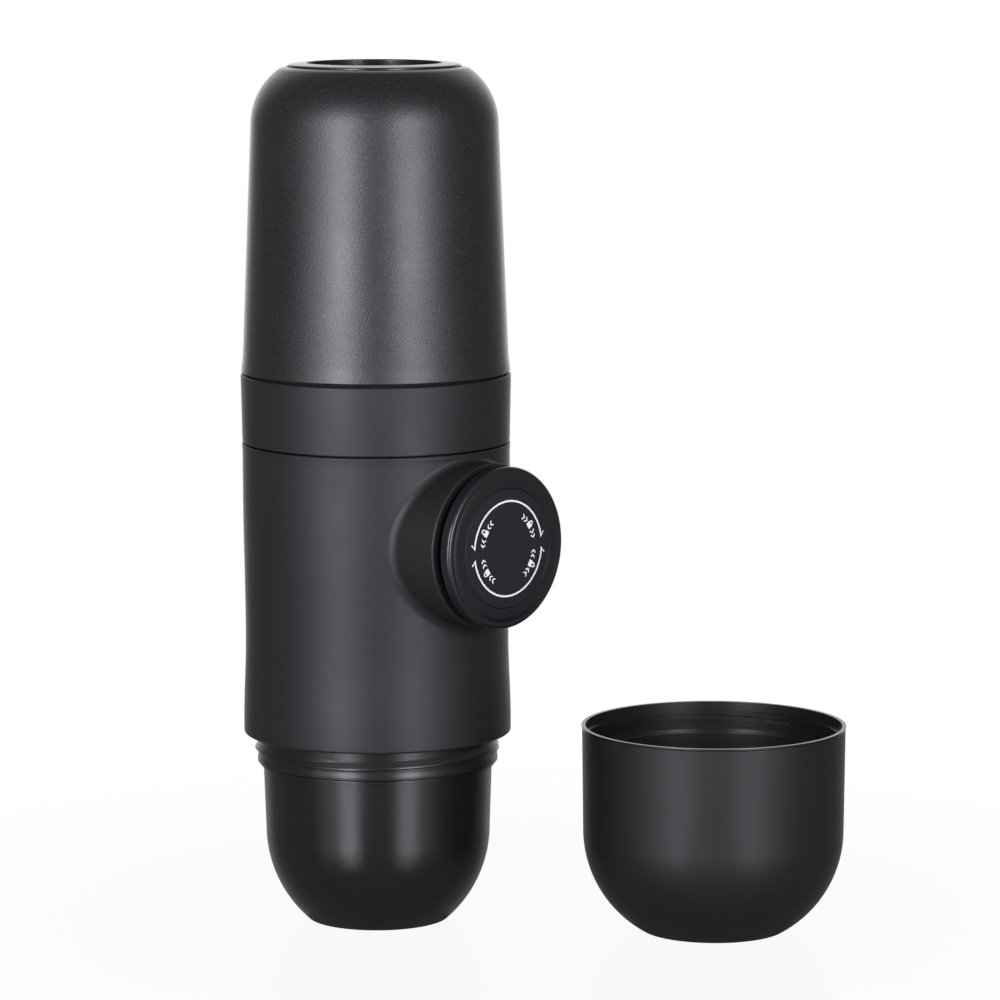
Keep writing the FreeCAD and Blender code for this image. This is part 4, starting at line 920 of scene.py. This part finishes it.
@dataclass
class GripBody:
    """Waisted grip shell whose boss flows out of it around the pump knob."""

    bottom: float = 42.8
    top: float = 108.5
    low_radius: float = 30.1
    waist_radius: float = 29.58
    high_radius: float = 29.95
    narrows: float = 45.0
    waist: float = 65.0
    widens: float = 98.0
    bead: float = 0.12
    bead_start: float = 1.4
    bead_rise: float = 0.7
    bore: float = 27.9
    sill: float = 2.0
    sill_bore: float = 27.05
    boss_radius: float = 18.25
    boss_bore: float = 16.2
    boss_reach: float = 36.0
    boss_chamfer: float = 0.25
    rim_round: float = 0.35
    foot_round: float = 0.55
    blend_top: float = 1.25
    blend_side: float = 3.5
    blend_bottom: float = 2.5
    window_low: float = 66.4
    window_high: float = 108.04
    window_rows: int = 34
    window_columns: int = 25           # half the width of the window, in faces
    waist_rows: tuple[float, ...] = (44.6, 47, 49, 51, 52.5, 54, 55.5, 57, 58.5, 60, 61.5, 63,
                                     64.5)
    seats: dict[float, tuple[float, float, float]] = field(default_factory=dict)

    def reach(self, z: float) -> float:
        """Find the shell's outer radius, wide at its foot and narrowest at its waist.

        Args:
            z: the height.

        Returns:
            The radius.
        """
        narrowed = eased((z - self.narrows) / (self.waist - self.narrows))
        widened = eased((z - self.waist) / (self.widens - self.waist))
        lifted = clamped((z - self.top + self.bead_start) / self.bead_rise)
        return (self.low_radius + (self.waist_radius - self.low_radius) * narrowed
                + (self.high_radius - self.waist_radius) * widened + self.bead * lifted)

    def rows(self) -> list[float]:
        """Return the heights of the shell's rings across the window."""
        step = (self.window_high - self.window_low) / self.window_rows
        return [self.window_low + step * i for i in range(self.window_rows + 1)]

    def blend(self, phi: float) -> float:
        """Return the fillet's radius at an angle round the boss."""
        other = self.blend_top if math.sin(phi) > 0 else self.blend_bottom
        return self.blend_side + (other - self.blend_side) * math.sin(phi) ** 2

    def surface(self, a: float, phi: float) -> float:
        """Return how far out along the pump the shell's surface lies."""
        radius = self.reach(KNOB_HEIGHT + a * math.sin(phi))
        return math.sqrt(max(radius ** 2 - (a * math.cos(phi)) ** 2, 0.0))

    def find_seat(self, phi: float) -> tuple[float, float, float]:
        """Roll the fillet in between the boss and the shell.

        Args:
            phi: angle round the boss, 0 to the viewer's right and 90 degrees up.

        Returns:
            How far along the pump its centre lies, and where it meets the shell, across and
            along.
        """
        size = self.blend(phi)
        middle = self.boss_radius + size
        spots = [self.boss_radius + size * 1.02 * i / 160 for i in range(161)]
        line = [(a, self.surface(a, phi)) for a in spots]

        def nearest(rho: float) -> tuple[float, Point]:
            """Return how near the shell comes to a fillet centred there, and where."""
            return min((math.hypot(a - middle, out - rho), (a, out)) for a, out in line)

        low, high = line[-1][1] - size, line[0][1] + size * 3
        for _ in range(40):
            trial = (low + high) / 2
            if nearest(trial)[0] < size:
                low = trial
            else:
                high = trial
        return high, *nearest(high)[1]

    def seat(self, phi: float) -> tuple[float, float, float]:
        """Find the fillet's seat at an angle, worked out once.

        Args:
            phi: angle round the boss.

        Returns:
            What find_seat returns.
        """
        key = round(phi, 9)
        if key not in self.seats:
            self.seats[key] = self.find_seat(phi)
        return self.seats[key]

    def on_boss(self, a: float, rho: float, phi: float) -> Vector:
        """Return a point across, along and round the boss, in metres."""
        out = PUMP * rho + ACROSS * (a * math.cos(phi)) + UP * (KNOB_HEIGHT + a * math.sin(phi))
        return out * MM

    def on_wall(self, start: Point, end: Point, share: float, inside: bool) -> Vector:
        """Find a point between two places on the wall.

        Args:
            start: the first place, across and up.
            end: the second place.
            share: how far it lies from the first to the second.
            inside: whether it lies on the bore and not on the outside.

        Returns:
            The point, in metres.
        """
        across, up = (here + (there - here) * share for here, there in zip(start, end))
        radius = self.bore if inside else self.reach(up)
        return (PUMP * math.sqrt(radius ** 2 - across ** 2) + ACROSS * across + UP * up) * MM

    def ring_point(self, part: BossPart, share: float, phi: float, border: Point) -> Vector:
        """Find where a point of a growing ring goes.

        Args:
            part: the stretch of the boss that the ring lies on.
            share: how far along that stretch it lies.
            phi: angle of the point round the boss.
            border: the window's border where the point grew from, across and up.

        Returns:
            The point, in metres.
        """
        centre, touch, out = self.seat(phi)
        side, up = math.cos(phi), math.sin(phi)
        rim, inner = self.boss_reach - self.rim_round, self.boss_bore
        if part is BossPart.WALL:
            return self.on_wall(border, (touch * side, KNOB_HEIGHT + touch * up), share, False)
        if part is BossPart.FILLET:
            size = self.blend(phi)
            middle = self.boss_radius + size
            first = math.atan2(out - centre, touch - middle)
            angle = first + (math.copysign(math.pi, first) - first) * share
            return self.on_boss(middle + size * math.cos(angle),
                                centre + size * math.sin(angle), phi)
        if part is BossPart.SIDE:
            return self.on_boss(self.boss_radius, centre + (rim - centre) * share, phi)
        if part is BossPart.RIM:
            a, rho = polar(self.rim_round, 90 * share)
            return self.on_boss(self.boss_radius - self.rim_round + a, rim + rho, phi)
        chamfer = self.boss_chamfer
        if part is BossPart.CHAMFER:
            return self.on_boss(inner + chamfer * (2 - 2 * share),
                                self.boss_reach - chamfer * (2 * share - 1), phi)
        if part is BossPart.BORE:
            start = self.boss_reach - chamfer
            end = math.sqrt(self.bore ** 2 - (inner * side) ** 2)
            return self.on_boss(inner, start + (end - start) * share, phi)
        behind = (border[0] * self.bore / self.reach(border[1]), border[1])
        return self.on_wall((inner * side, KNOB_HEIGHT + inner * up), behind, share, True)

    def in_window(self, middle: Vector, normal: Vector) -> bool:
        """Tell whether a face lies in the window that the boss grows from.

        Args:
            middle: the face's middle, in metres.
            normal: its normal.

        Returns:
            Whether it does.
        """
        angle = abs(math.degrees(math.atan2(middle.dot(ACROSS), middle.dot(PUMP))))
        upright = abs(normal.z) <= 0.3
        return (upright and angle < self.window_columns * 360 / SIDES
                and self.window_low * MM < middle.z < self.window_high * MM)

    def build_shell(self) -> bpy.types.Object:
        """Turn the shell, open it and grow the boss out of the opening.

        Returns:
            The shell.
        """
        rows = self.rows()
        points = outline_points([
            (self.sill_bore, self.bottom), (self.low_radius - self.foot_round, self.bottom),
            Corner(self.low_radius, self.bottom + self.foot_round, bulge=self.foot_round,
                   steps=6),
            *[(self.reach(z), z) for z in (*self.waist_rows, *rows)],
            Corner(self.high_radius + self.bead, self.top, fillet=0.38),
            (self.bore, self.top), *[(self.bore, z) for z in reversed(rows)],
            (self.bore, self.bottom + self.sill), (self.sill_bore, self.bottom + self.sill),
        ], True)
        piece = spun("main_body_skin", points + points[:1],
                     Matrix.Rotation(KNOB_AZIMUTH - math.pi / 2, 4, "Z"))
        self.grow_boss(piece)
        smooth(piece)
        return piece

    def grow_boss(self, piece: bpy.types.Object) -> None:
        """Open the wall and extrude the border ring by ring into the boss.

        Args:
            piece: the shell.
        """
        select(piece)
        bpy.ops.object.mode_set(mode="EDIT")
        bpy.ops.mesh.select_all(action="DESELECT")
        mesh = bmesh.from_edit_mesh(piece.data)
        for face in mesh.faces:
            face.select_set(self.in_window(face.calc_center_median(), face.normal))
        bmesh.update_edit_mesh(piece.data)
        bpy.ops.mesh.delete(type="FACE")
        mesh = bmesh.from_edit_mesh(piece.data)
        names = ("phi", "across", "up")
        for name in names:
            mesh.verts.layers.float.new(name)
        phi, across, up = (mesh.verts.layers.float[name] for name in names)
        for vertex in mesh.verts:
            vertex.select_set(False)
        between = (self.bore + 0.6) * MM
        for edge in mesh.edges:
            if edge.is_boundary and all(v.co.to_2d().length > between for v in edge.verts):
                edge.select_set(True)
        for vertex in mesh.verts:
            if vertex.select:
                vertex[across] = vertex.co.dot(ACROSS) / MM
                vertex[up] = vertex.co.z / MM
                vertex[phi] = math.atan2(vertex[up] - KNOB_HEIGHT, vertex[across])
        bmesh.update_edit_mesh(piece.data)
        for part, share in [(part, share) for part in BossPart for share in part.shares()]:
            bpy.ops.mesh.extrude_region_move()
            mesh = bmesh.from_edit_mesh(piece.data)
            phi, across, up = (mesh.verts.layers.float[name] for name in names)
            for vertex in mesh.verts:
                if vertex.select:
                    border = (vertex[across], vertex[up])
                    vertex.co = self.ring_point(part, share, vertex[phi], border)
            bmesh.update_edit_mesh(piece.data)
        clean(WELD * 5)
        for name in names:
            piece.data.attributes.remove(piece.data.attributes[name])

    def build(self) -> None:
        """Build and dress the grip."""
        dress(self.build_shell(), Finish.GRIP, "maker_body", "main_body")


# ------------------------------------------------------------------ pump knob


@dataclass
class PumpKnob:
    """Crowned turning knob with its printed face."""

    radius: float = 17.9
    side_end: float = 40.0
    shoulder_radius: float = 16.9
    groove_radius: float = 16.45
    rear: float = 38.1
    front: float = 41.3
    face_radius: float = 13.2
    face_depth: float = 1.3
    skirt_radius: float = 15.6
    skirt_bore: float = 14.0
    skirt_rear: float = 29.0
    web_rear: float = 35.1
    web_front: float = 37.9
    hub_bore: float = 4.1
    crown: float = 0.62
    flat_radius: float = 7.4
    ring: float = 10.5
    stroke: float = 0.42
    sign_radius: float = 8.35
    sign_stroke: float = 0.3
    ink: tuple[float, float] = (-0.05, 0.02)       # the film's back and front, from the face

    def face_height(self, r: float) -> float:
        """Return the height of the crowned front at a distance from its middle."""
        share = (r - self.flat_radius) / (self.shoulder_radius - self.flat_radius)
        return self.front - self.crown * max(share, 0.0) ** 2

    def build_cap(self) -> bpy.types.Object:
        """Turn the knob with its skirt and web.

        Returns:
            The knob.
        """
        inner, groove, side_end = self.face_radius + 0.04, self.groove_radius, self.side_end
        floor = self.front - self.face_depth
        return turn("knob_cap_skin", [
            (self.hub_bore, self.web_rear), (self.skirt_bore, self.web_rear),
            (self.skirt_bore, self.skirt_rear),
            Corner(self.skirt_radius, self.skirt_rear, fillet=0.3),
            (self.skirt_radius, self.rear), Corner(self.radius, self.rear, fillet=0.25),
            (self.radius, side_end),
            Corner(self.shoulder_radius + 0.15, side_end + 0.74, bulge=0.88, steps=8),
            (groove + 0.3, side_end + 0.71), Corner(groove, side_end + 0.62, fillet=0.15),
            (groove - 0.3, side_end + 0.70),
            *[(r, self.face_height(r)) for r in (15.8, 15.2, 14.3, inner + 0.1)],
            (inner, self.face_height(inner) - 0.1), (inner, floor), (inner - 1.2, floor),
            (inner - 1.2, self.web_front), (self.hub_bore, self.web_front),
        ], Axis.PUMP)

    def build_face(self) -> bpy.types.Object:
        """Turn the face disc, crowned with the knob.

        Returns:
            The disc.
        """
        edge, floor = self.face_radius, self.front - self.face_depth + 0.01
        radii = (edge - 0.12, 12.4, 11.6, 10.8, 10.0, 9.2, 8.4, 7.4, 4.0)
        return turn("knob_face_skin", [
            (0, floor), (edge, floor), (edge, self.face_height(edge) - 0.12),
            *[(r, self.face_height(r)) for r in radii], (0, self.front),
        ], Axis.PUMP, closed=False)

    def printed(self, name: str, outline: Sequence[Point]) -> bpy.types.Object:
        """Lay a flat printed shape on the face as a thin film of ink.

        Args:
            name: name of the shape.
            outline: its corners as seen from the front, right and up, in millimetres.

        Returns:
            The film.
        """
        select()
        bpy.ops.mesh.primitive_circle_add(vertices=len(outline), radius=MM,
                                          fill_type="NGON", location=(0, 0, 0))
        piece = bpy.context.object
        piece.name = piece.data.name = name
        for vertex, (x, y) in zip(piece.data.vertices, outline):
            vertex.co = (x * MM, y * MM, 0)
        bpy.ops.object.mode_set(mode="EDIT")
        bpy.ops.mesh.select_all(action="SELECT")
        bpy.ops.mesh.quads_convert_to_tris()
        bpy.ops.mesh.extrude_region_move(TRANSFORM_OT_translate={"value": (0, 0, MM)})
        clean()
        for vertex in piece.data.vertices:
            x, y, z = vertex.co / MM
            height = self.face_height(math.hypot(x, y)) + self.ink[z > 0.5]
            vertex.co = Vector((x, y, height)) * MM
        return piece

    def ring_arrow(self, first: float, last: float) -> list[Point]:
        """Draw an arc of the ring with a half arrow head on the outside at each end.

        Args:
            first: angle of its start, in degrees.
            last: angle of its end.

        Returns:
            Its outline.
        """
        inner, outer = self.ring - self.stroke / 2, self.ring + self.stroke / 2
        barb, back, steps = 0.95, 6.0, 60
        outside = [polar(outer, first + back * 0.55 + (last - first - back * 1.1) * i / steps)
                   for i in range(steps + 1)]
        inside = [polar(inner, last - (last - first) * i / steps) for i in range(steps)]
        tip, root = outer + barb, outer + barb * 0.62
        return [polar(inner, first), polar(tip, first + back), polar(root, first + back * 1.08),
                *outside, polar(root, last - back * 1.08), polar(tip, last - back), *inside]

    def round_the_face(self, shape: Sequence[Point], degrees: float) -> list[Point]:
        """Put a mark, drawn upright, on the ring of signs with its top outwards.

        Args:
            shape: the mark's outline.
            degrees: its angle on the face.

        Returns:
            The outline at its place.
        """
        across, up = polar(1.0, degrees - 90)
        return [(x * across - (y + self.sign_radius) * up,
                 x * up + (y + self.sign_radius) * across) for x, y in shape]

    def padlock(self, is_open: bool) -> list[list[Point]]:
        """Draw the body and the bow of a small padlock, about its own middle.

        Args:
            is_open: whether the bow is swung up.

        Returns:
            The two outlines.
        """
        base, half = 0.12, 0.74
        body = [(-half, -0.95), (half, -0.95), (half, base), (-half, base)]
        outer, inner = 0.55, 0.55 - self.sign_stroke
        spring = base + (0.45 if is_open else 0.22)
        foot, hidden = base + 0.22 if is_open else base - 0.02, base - 0.02
        arc = [math.pi * i / 12 for i in range(13)]
        bow = [(outer * math.cos(a), spring + outer * math.sin(a)) for a in arc]
        bow += [(-outer, hidden), (-inner, hidden)]
        bow += [(inner * math.cos(a), spring + inner * math.sin(a)) for a in reversed(arc)]
        return [body, bow + [(inner, foot), (outer, foot)]]

    def chevron(self, way: int) -> list[Point]:
        """Draw a small chevron.

        Args:
            way: 1 if it points to the right, -1 if it points to the left.

        Returns:
            Its outline.
        """
        tip, half, bar = 0.36 * way, 0.62, self.sign_stroke * 1.35 * way
        line = [(-tip, half), (bar - tip, half), (tip + bar * 0.5, 0.0), (bar - tip, -half),
                (-tip, -half), (tip - bar * 0.5, 0.0)]
        return [(x, y - 0.3) for x, y in line]

    def sign(self, middle: float, is_open: bool) -> list[list[Point]]:
        """Draw a padlock between chevrons that point to the arrow's end.

        Args:
            middle: angle of the sign on the face, in degrees.
            is_open: whether the bow is swung up.

        Returns:
            The outlines.
        """
        shapes = [self.round_the_face(shape, middle) for shape in self.padlock(is_open)]
        mark = self.chevron(-1 if is_open else 1)
        return shapes + [self.round_the_face(mark, middle + aside)
                         for aside in (-19.5, -12.0, 12.0, 19.5)]

    def build_print(self) -> bpy.types.Object:
        """Print the two turning arrows and the four lock signs.

        Returns:
            The print.
        """
        shapes = [self.ring_arrow(8, 177), self.ring_arrow(188, 357)]
        for middle, is_open in ((150, True), (35, False), (330, True), (215, False)):
            shapes += self.sign(middle, is_open)
        films = [self.printed(f"print_{i}", shape) for i, shape in enumerate(shapes)]
        piece = joined("knob_print", films)
        settle(piece, axis_matrix(Axis.PUMP))
        return piece

    def build(self) -> None:
        """Build and dress the knob."""
        dress(self.build_cap(), Finish.KNOB, "knob", "knob_cap")
        dress(self.build_face(), Finish.KNOB_FACE, "knob", "knob_face")
        dress(self.build_print(), Finish.INK, "knob")


# ------------------------------------------------------------------ neck and outlet head


@dataclass
class ThreadedNeck:
    """Short polished neck with the three-start thread that the cup screws on."""

    bottom: float = 36.0
    shoulder: float = 44.8
    shoulder_top: float = 46.8
    top: float = 49.0
    radius: float = 26.95
    lip: float = 0.15
    shoulder_radius: float = 27.75
    spigot_radius: float = 26.5
    bore: float = 22.6
    top_bore: float = 18.2
    ridge: float = 0.72

    def build_core(self) -> bpy.types.Object:
        """Turn the neck.

        Returns:
            The neck.
        """
        lip = self.radius + self.lip
        return turn("threaded_neck_skin", [
            (self.bore, self.bottom + 0.15), Corner(lip, self.bottom + 0.28, fillet=0.05),
            Corner(lip, self.bottom + 0.9, fillet=0.8),
            Corner(self.radius, self.bottom + 1.9, fillet=0.8),
            (self.radius + 0.04, self.shoulder), (self.shoulder_radius, self.shoulder),
            (self.shoulder_radius, self.shoulder_top), (self.spigot_radius, self.shoulder_top),
            (self.spigot_radius, self.top), (self.top_bore, self.top),
            (self.top_bore, self.top - 2.0), (self.bore, self.top - 2.0),
        ])

    def build(self) -> None:
        """Build and dress the neck and its thread."""
        dress(self.build_core(), Finish.NECK, "maker_body", "threaded_neck")
        thread = Thread(self.radius, self.ridge, CUP_LEAD, 156, (2.1, 0.2), taper=40,
                        lean=-0.7)
        ridges = [thread.wind(f"ridge_{start}", start - 52, 38.93) for start in CUP_STARTS]
        dress(joined("neck_thread", ridges), Finish.NECK, "maker_body")


@dataclass
class OutletHead:
    """Polished dome that the maker stands on, with its spout and screwed collar."""

    foot: float = 15.85
    foot_bore: float = 13.7
    bulge: float = 27.7
    dome_radius: float = 25.3
    dome_height: float = 21.0
    top_radius: float = 25.8
    height: float = 34.0
    wall: float = 2.3
    flange: float = 26.5
    flange_top: float = 36.0
    collar: float = 22.2
    collar_bore: float = 20.2
    collar_top: float = 44.0
    collar_bottom: float = 31.8
    cone_bottom: float = 29.5
    nozzle_bore: float = 3.2
    recess: float = 2.6
    floor: float = 5.2
    floor_radius: float = 15.2

    def build_dome(self) -> bpy.types.Object:
        """Turn the dome, its foot ring and the collar.

        Returns:
            The dome.
        """
        return turn("outlet_head_skin", [
            (self.foot_bore, 0), (self.foot, 0),
            Corner(self.dome_radius, self.dome_height, bulge=self.bulge, steps=28),
            Corner(self.top_radius, self.height + 1.44, fillet=0.05),
            Corner(self.flange, self.height + 1.5, fillet=0.05),
            Corner(self.flange, self.flange_top, fillet=0.05), (self.collar, self.flange_top),
            Corner(self.collar, self.collar_top, fillet=0.2),
            Corner(self.collar_bore, self.collar_top, fillet=0.2),
            (self.collar_bore, self.collar_bottom),
            (self.top_radius - self.wall, self.cone_bottom),
            (self.dome_radius - self.wall, self.dome_height),
            Corner(self.floor_radius, self.floor, bulge=self.wall - self.bulge, steps=20),
            (self.nozzle_bore, self.floor), (self.nozzle_bore, self.recess),
            (self.foot_bore - 0.6, self.recess),
        ], angle=math.radians(38))

    def build(self) -> None:
        """Build and dress the head."""
        dress(self.build_dome(), Finish.HEAD, "outlet", "outlet_head")
        dress(copy_of_solid("outlet_nozzle"), Finish.NYLON, "outlet", "outlet_nozzle")
        thread = Thread(self.collar, JOINT_RIDGE, JOINT_LEAD, 340, JOINT_WIDTHS)
        dress(thread.wind("head_collar_thread", 0, 37.6), Finish.HEAD, "outlet")


# ------------------------------------------------------------------ cup


@dataclass
class Cup:
    """Loose round cup whose mouth screws over the neck."""

    foot: float = 16.2
    foot_bore: float = 14.1
    recess: float = 1.2
    recess_radius: float = 13.7
    bulge: float = 25.9
    wall_radius: float = 29.16
    wall_height: float = 22.6
    rim_radius: float = 29.42
    undercut: float = 0.2
    lip_radius: float = 29.57
    height: float = 46.2
    mouth: float = 28.65
    ledge: float = 39.5
    inner: float = 26.9
    taper: float = 0.15
    floor: float = 3.2
    ridge: float = -0.6            # the thread stands inwards

    def build_cup(self) -> bpy.types.Object:
        """Turn the cup in one piece.

        Returns:
            The cup.
        """
        centre = self.wall_radius - self.bulge
        low = self.inner - self.taper
        bulge = low - centre
        foot_inside = centre + math.sqrt(bulge ** 2 - (self.wall_height - self.floor) ** 2)
        cut = self.rim_radius - self.undercut
        return turn("cup_skin", [
            (0, self.recess), Corner(self.recess_radius, self.recess, fillet=0.2),
            Corner(self.foot_bore, 0, fillet=0.1), (self.foot, 0),
            Corner(self.wall_radius, self.wall_height, bulge=self.bulge, steps=28),
            Corner(self.rim_radius, self.height - 0.62, fillet=0.12),
            Corner(cut, self.height - 0.5, fillet=0.04),
            Corner(cut, self.height - 0.3, fillet=0.04),
            Corner(self.lip_radius, self.height - 0.2, fillet=0.05),
            Corner(self.lip_radius, self.height, fillet=0.08),
            Corner(self.mouth, self.height, fillet=0.1),
            Corner(self.mouth, self.ledge, fillet=0.06),
            Corner(self.inner, self.ledge, fillet=0.22), (low, self.wall_height),
            Corner(foot_inside, self.floor, bulge=-bulge, steps=26), (0, self.floor),
        ], Axis.CUP, closed=False)

    # Marks the faces that get the polished finish with its lighter grey, which is painted
    # light.
    def polished(self, middle: Vector, normal: Vector) -> bool:
        """Tell whether a face lies on the inside or on the rim.

        Args:
            middle: the face's middle, in millimetres.
            normal: its normal.

        Returns:
            Whether it does.
        """
        away = (middle - CUP_PLACE).to_2d()
        inward = normal.to_2d().dot(away) < 0 or normal.z > 0.5
        return inward and middle.z > self.floor - 0.1 or middle.z > self.height - 0.13

    def build(self) -> None:
        """Build and dress the cup and its inner thread."""
        cup = dress(self.build_cup(), Finish.CUP, "cup_body", "cup")
        # The inside and the rim get the polished finish, whose lighter grey is painted light.
        refinish(cup, Finish.CUP_INSIDE, self.polished)
        thread = Thread(self.mouth, self.ridge, CUP_LEAD, 150, (1.5, 1.2))
        ridges = [thread.wind(f"cup_ridge_{start}", start + 19, 42.0, Axis.CUP)
                  for start in CUP_STARTS]
        # The inner thread gets the same lighter grey, painted light.
        dress(joined("cup_thread", ridges), Finish.CUP_INSIDE, "cup_body")


# ------------------------------------------------------------------ inner parts


@dataclass
class InnerParts:
    """Parts that show only when the maker is opened or worked."""

    groups: tuple[tuple[Finish, str, tuple[str, ...]], ...] = (
        (Finish.NYLON, "maker_body", ("pump_block", "gland")),
        (Finish.STEEL, "maker_body", ("pump_cylinder", "gland_screws", "frame_screws",
                                      "return_spring", "shower_plate", "shower_screw")),
        (Finish.SILICONE, "maker_body", ("group_gasket", "inlet_valve", "outlet_valve")),
        (Finish.NYLON, "piston", ("piston_rod", "piston_head")),
        (Finish.SILICONE, "piston", ("piston_seal",)),
        (Finish.STEEL, "piston", ("knob_screw",)),
        (Finish.STEEL, "filter", ("filter_basket",)),
    )

    def build(self) -> None:
        """Dress smooth copies of the inner solids."""
        for finish, body, nodes in self.groups:
            for node in nodes:
                dress(copy_of_solid(node), finish, body, node)


# ------------------------------------------------------------------ studio


@dataclass(frozen=True)
class SoftBox:
    """One soft box, turned to the maker's axis.

    Args:
        name: name of the lamp.
        azimuth: degrees from the camera to the right, seen from the maker.
        height: metres over the floor.
        size: width and height in metres.
        power: watts.
        distance: metres from the maker's axis.
        colour: its light, a little cool.
    """

    name: str
    azimuth: float
    height: float
    size: Point
    power: float
    distance: float = 1.2
    colour: tuple[float, float, float] = (0.97, 0.955, 1.05)

    def hang(self) -> None:
        """Hang the soft box."""
        light = bpy.data.lights.new(self.name, "AREA")
        light.shape = "RECTANGLE"
        light.size, light.size_y = self.size
        light.energy = self.power
        light.color = self.colour
        lamp = bpy.data.objects.new(self.name, light)
        bpy.context.scene.collection.objects.link(lamp)
        ahead, aside = polar(self.distance, self.azimuth)
        lamp.location = (aside, -ahead, self.height)
        aim = Vector((0.02, 0, self.height)) - lamp.location
        lamp.rotation_euler = aim.to_track_quat("-Z", "Y").to_euler()


@dataclass
class Studio:
    """White sweep, tall soft boxes on both sides and the camera."""

    lens: float = 173.1
    sensor: float = 36.0
    camera_place: tuple[float, float, float] = (0.02773, -1.0696, 0.2442)
    camera_tilt: float = 82.066
    camera_roll: float = -0.086
    floor_radius: float = 0.36
    floor_white: float = 0.93
    room_light: float = 0.20
    boxes: tuple[SoftBox, ...] = (
        SoftBox("left_box_high", -28, 0.335, (0.38, 0.67), 11.2),
        SoftBox("left_box_low", -28, -0.25, (0.38, 0.50), 3.8),
        SoftBox("left_wing", -49, 0.085, (0.40, 1.17), 3.3),
        SoftBox("right_box_high", 31.5, 0.335, (0.38, 0.67), 9.4),
        SoftBox("right_box_low", 31.5, -0.25, (0.38, 0.50), 2.2),
        SoftBox("right_wing", 50, 0.085, (0.34, 1.17), 2.2),
    )

    def build_floor(self) -> None:
        """Lay a round pale floor of glossy acrylic that keeps the shadows."""
        select()
        bpy.ops.mesh.primitive_circle_add(vertices=128, radius=self.floor_radius,
                                          fill_type="NGON", location=(0.03, 0, -0.0002))
        floor = bpy.context.object
        floor.name = "studio_floor"
        material, tree = new_material("white_acrylic_sweep")
        place = add_node(tree, "TexCoord").outputs["Object"]
        away = add_node(tree, "VectorMath", {0: place}, operation="LENGTH")
        fade = add_node(tree, "MapRange", {
            "Value": away, "From Min": self.floor_radius * 0.2,
            "From Max": self.floor_radius * 0.55, "To Min": self.floor_white, "To Max": 1.0},
            interpolation_type="SMOOTHSTEP")
        rays = add_node(tree, "LightPath").outputs["Is Camera Ray"]
        share = add_node(tree, "Math", {0: rays, 1: fade}, operation="MULTIPLY")
        lit = add_node(tree, "BsdfPrincipled", {
            "Base Color": (0.38, 0.38, 0.38, 1), "Roughness": 0.12, "IOR": 1.9})
        bright = add_node(tree, "Emission", {"Color": (1, 1, 1, 1), "Strength": 1.0})
        both = add_node(tree, "MixShader", {0: share, 1: lit, 2: bright})
        add_node(tree, "OutputMaterial", {"Surface": both})
        floor.data.materials.append(material)

    def build_world(self) -> None:
        """Surround the maker with a dim studio whose backdrop is white."""
        world = bpy.data.worlds.new("studio")
        bpy.context.scene.world = world
        world.use_nodes = True
        tree = world.node_tree
        tree.nodes.clear()
        rays = add_node(tree, "LightPath").outputs
        clear = add_node(tree, "Math", {
            0: rays["Is Camera Ray"], 1: rays["Is Transmission Ray"]}, operation="MAXIMUM")
        toward = add_node(tree, "SeparateXYZ", {
            0: add_node(tree, "TexCoord").outputs["Generated"]}).outputs
        raised = add_node(tree, "Math", {0: toward["Z"], 1: 0.3, 2: toward["Y"]},
                          operation="MULTIPLY_ADD")
        backdrop = add_node(tree, "MapRange", {
            "Value": raised, "From Min": 0.70, "From Max": 0.95},
            interpolation_type="SMOOTHSTEP")
        mirrored = add_node(tree, "Math", {0: rays["Is Glossy Ray"], 1: backdrop},
                            operation="MULTIPLY")
        seen = add_node(tree, "Math", {0: clear, 1: mirrored}, operation="MAXIMUM")
        dim = add_node(tree, "Background", {
            "Color": (1, 1, 1, 1), "Strength": self.room_light})
        white = add_node(tree, "Background", {"Color": (1, 1, 1, 1), "Strength": 1.0})
        mixed = add_node(tree, "MixShader", {0: seen, 1: dim, 2: white})
        add_node(tree, "OutputWorld", {"Surface": mixed})

    def build_camera(self) -> None:
        """Set up the camera."""
        camera = bpy.data.cameras.new("camera")
        camera.lens = self.lens
        camera.sensor_width = self.sensor
        place = bpy.data.objects.new("camera", camera)
        bpy.context.scene.collection.objects.link(place)
        place.location = self.camera_place
        tilt = Matrix.Rotation(math.radians(self.camera_tilt), 3, "X")
        roll = Matrix.Rotation(math.radians(self.camera_roll), 3, "Z")
        place.rotation_euler = (tilt @ roll).to_euler()
        bpy.context.scene.camera = place

    def build(self) -> None:
        """Build floor, world, lamps and camera."""
        self.build_floor()
        self.build_world()
        for box in self.boxes:
            box.hang()
        self.build_camera()
        bpy.context.scene.view_settings.view_transform = "Standard"


def main() -> None:
    """Build every sub-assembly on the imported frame."""
    logging.basicConfig(level=logging.INFO, format="%(message)s")
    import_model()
    for part in (WaterTank(), CollarBand(), GripBody(), PumpKnob(), ThreadedNeck(),
                 OutletHead(), Cup(), InnerParts()):
        part.build()
        log.info("%s done", type(part).__name__)
    Studio().build()


if __name__ == "__main__":
    main()
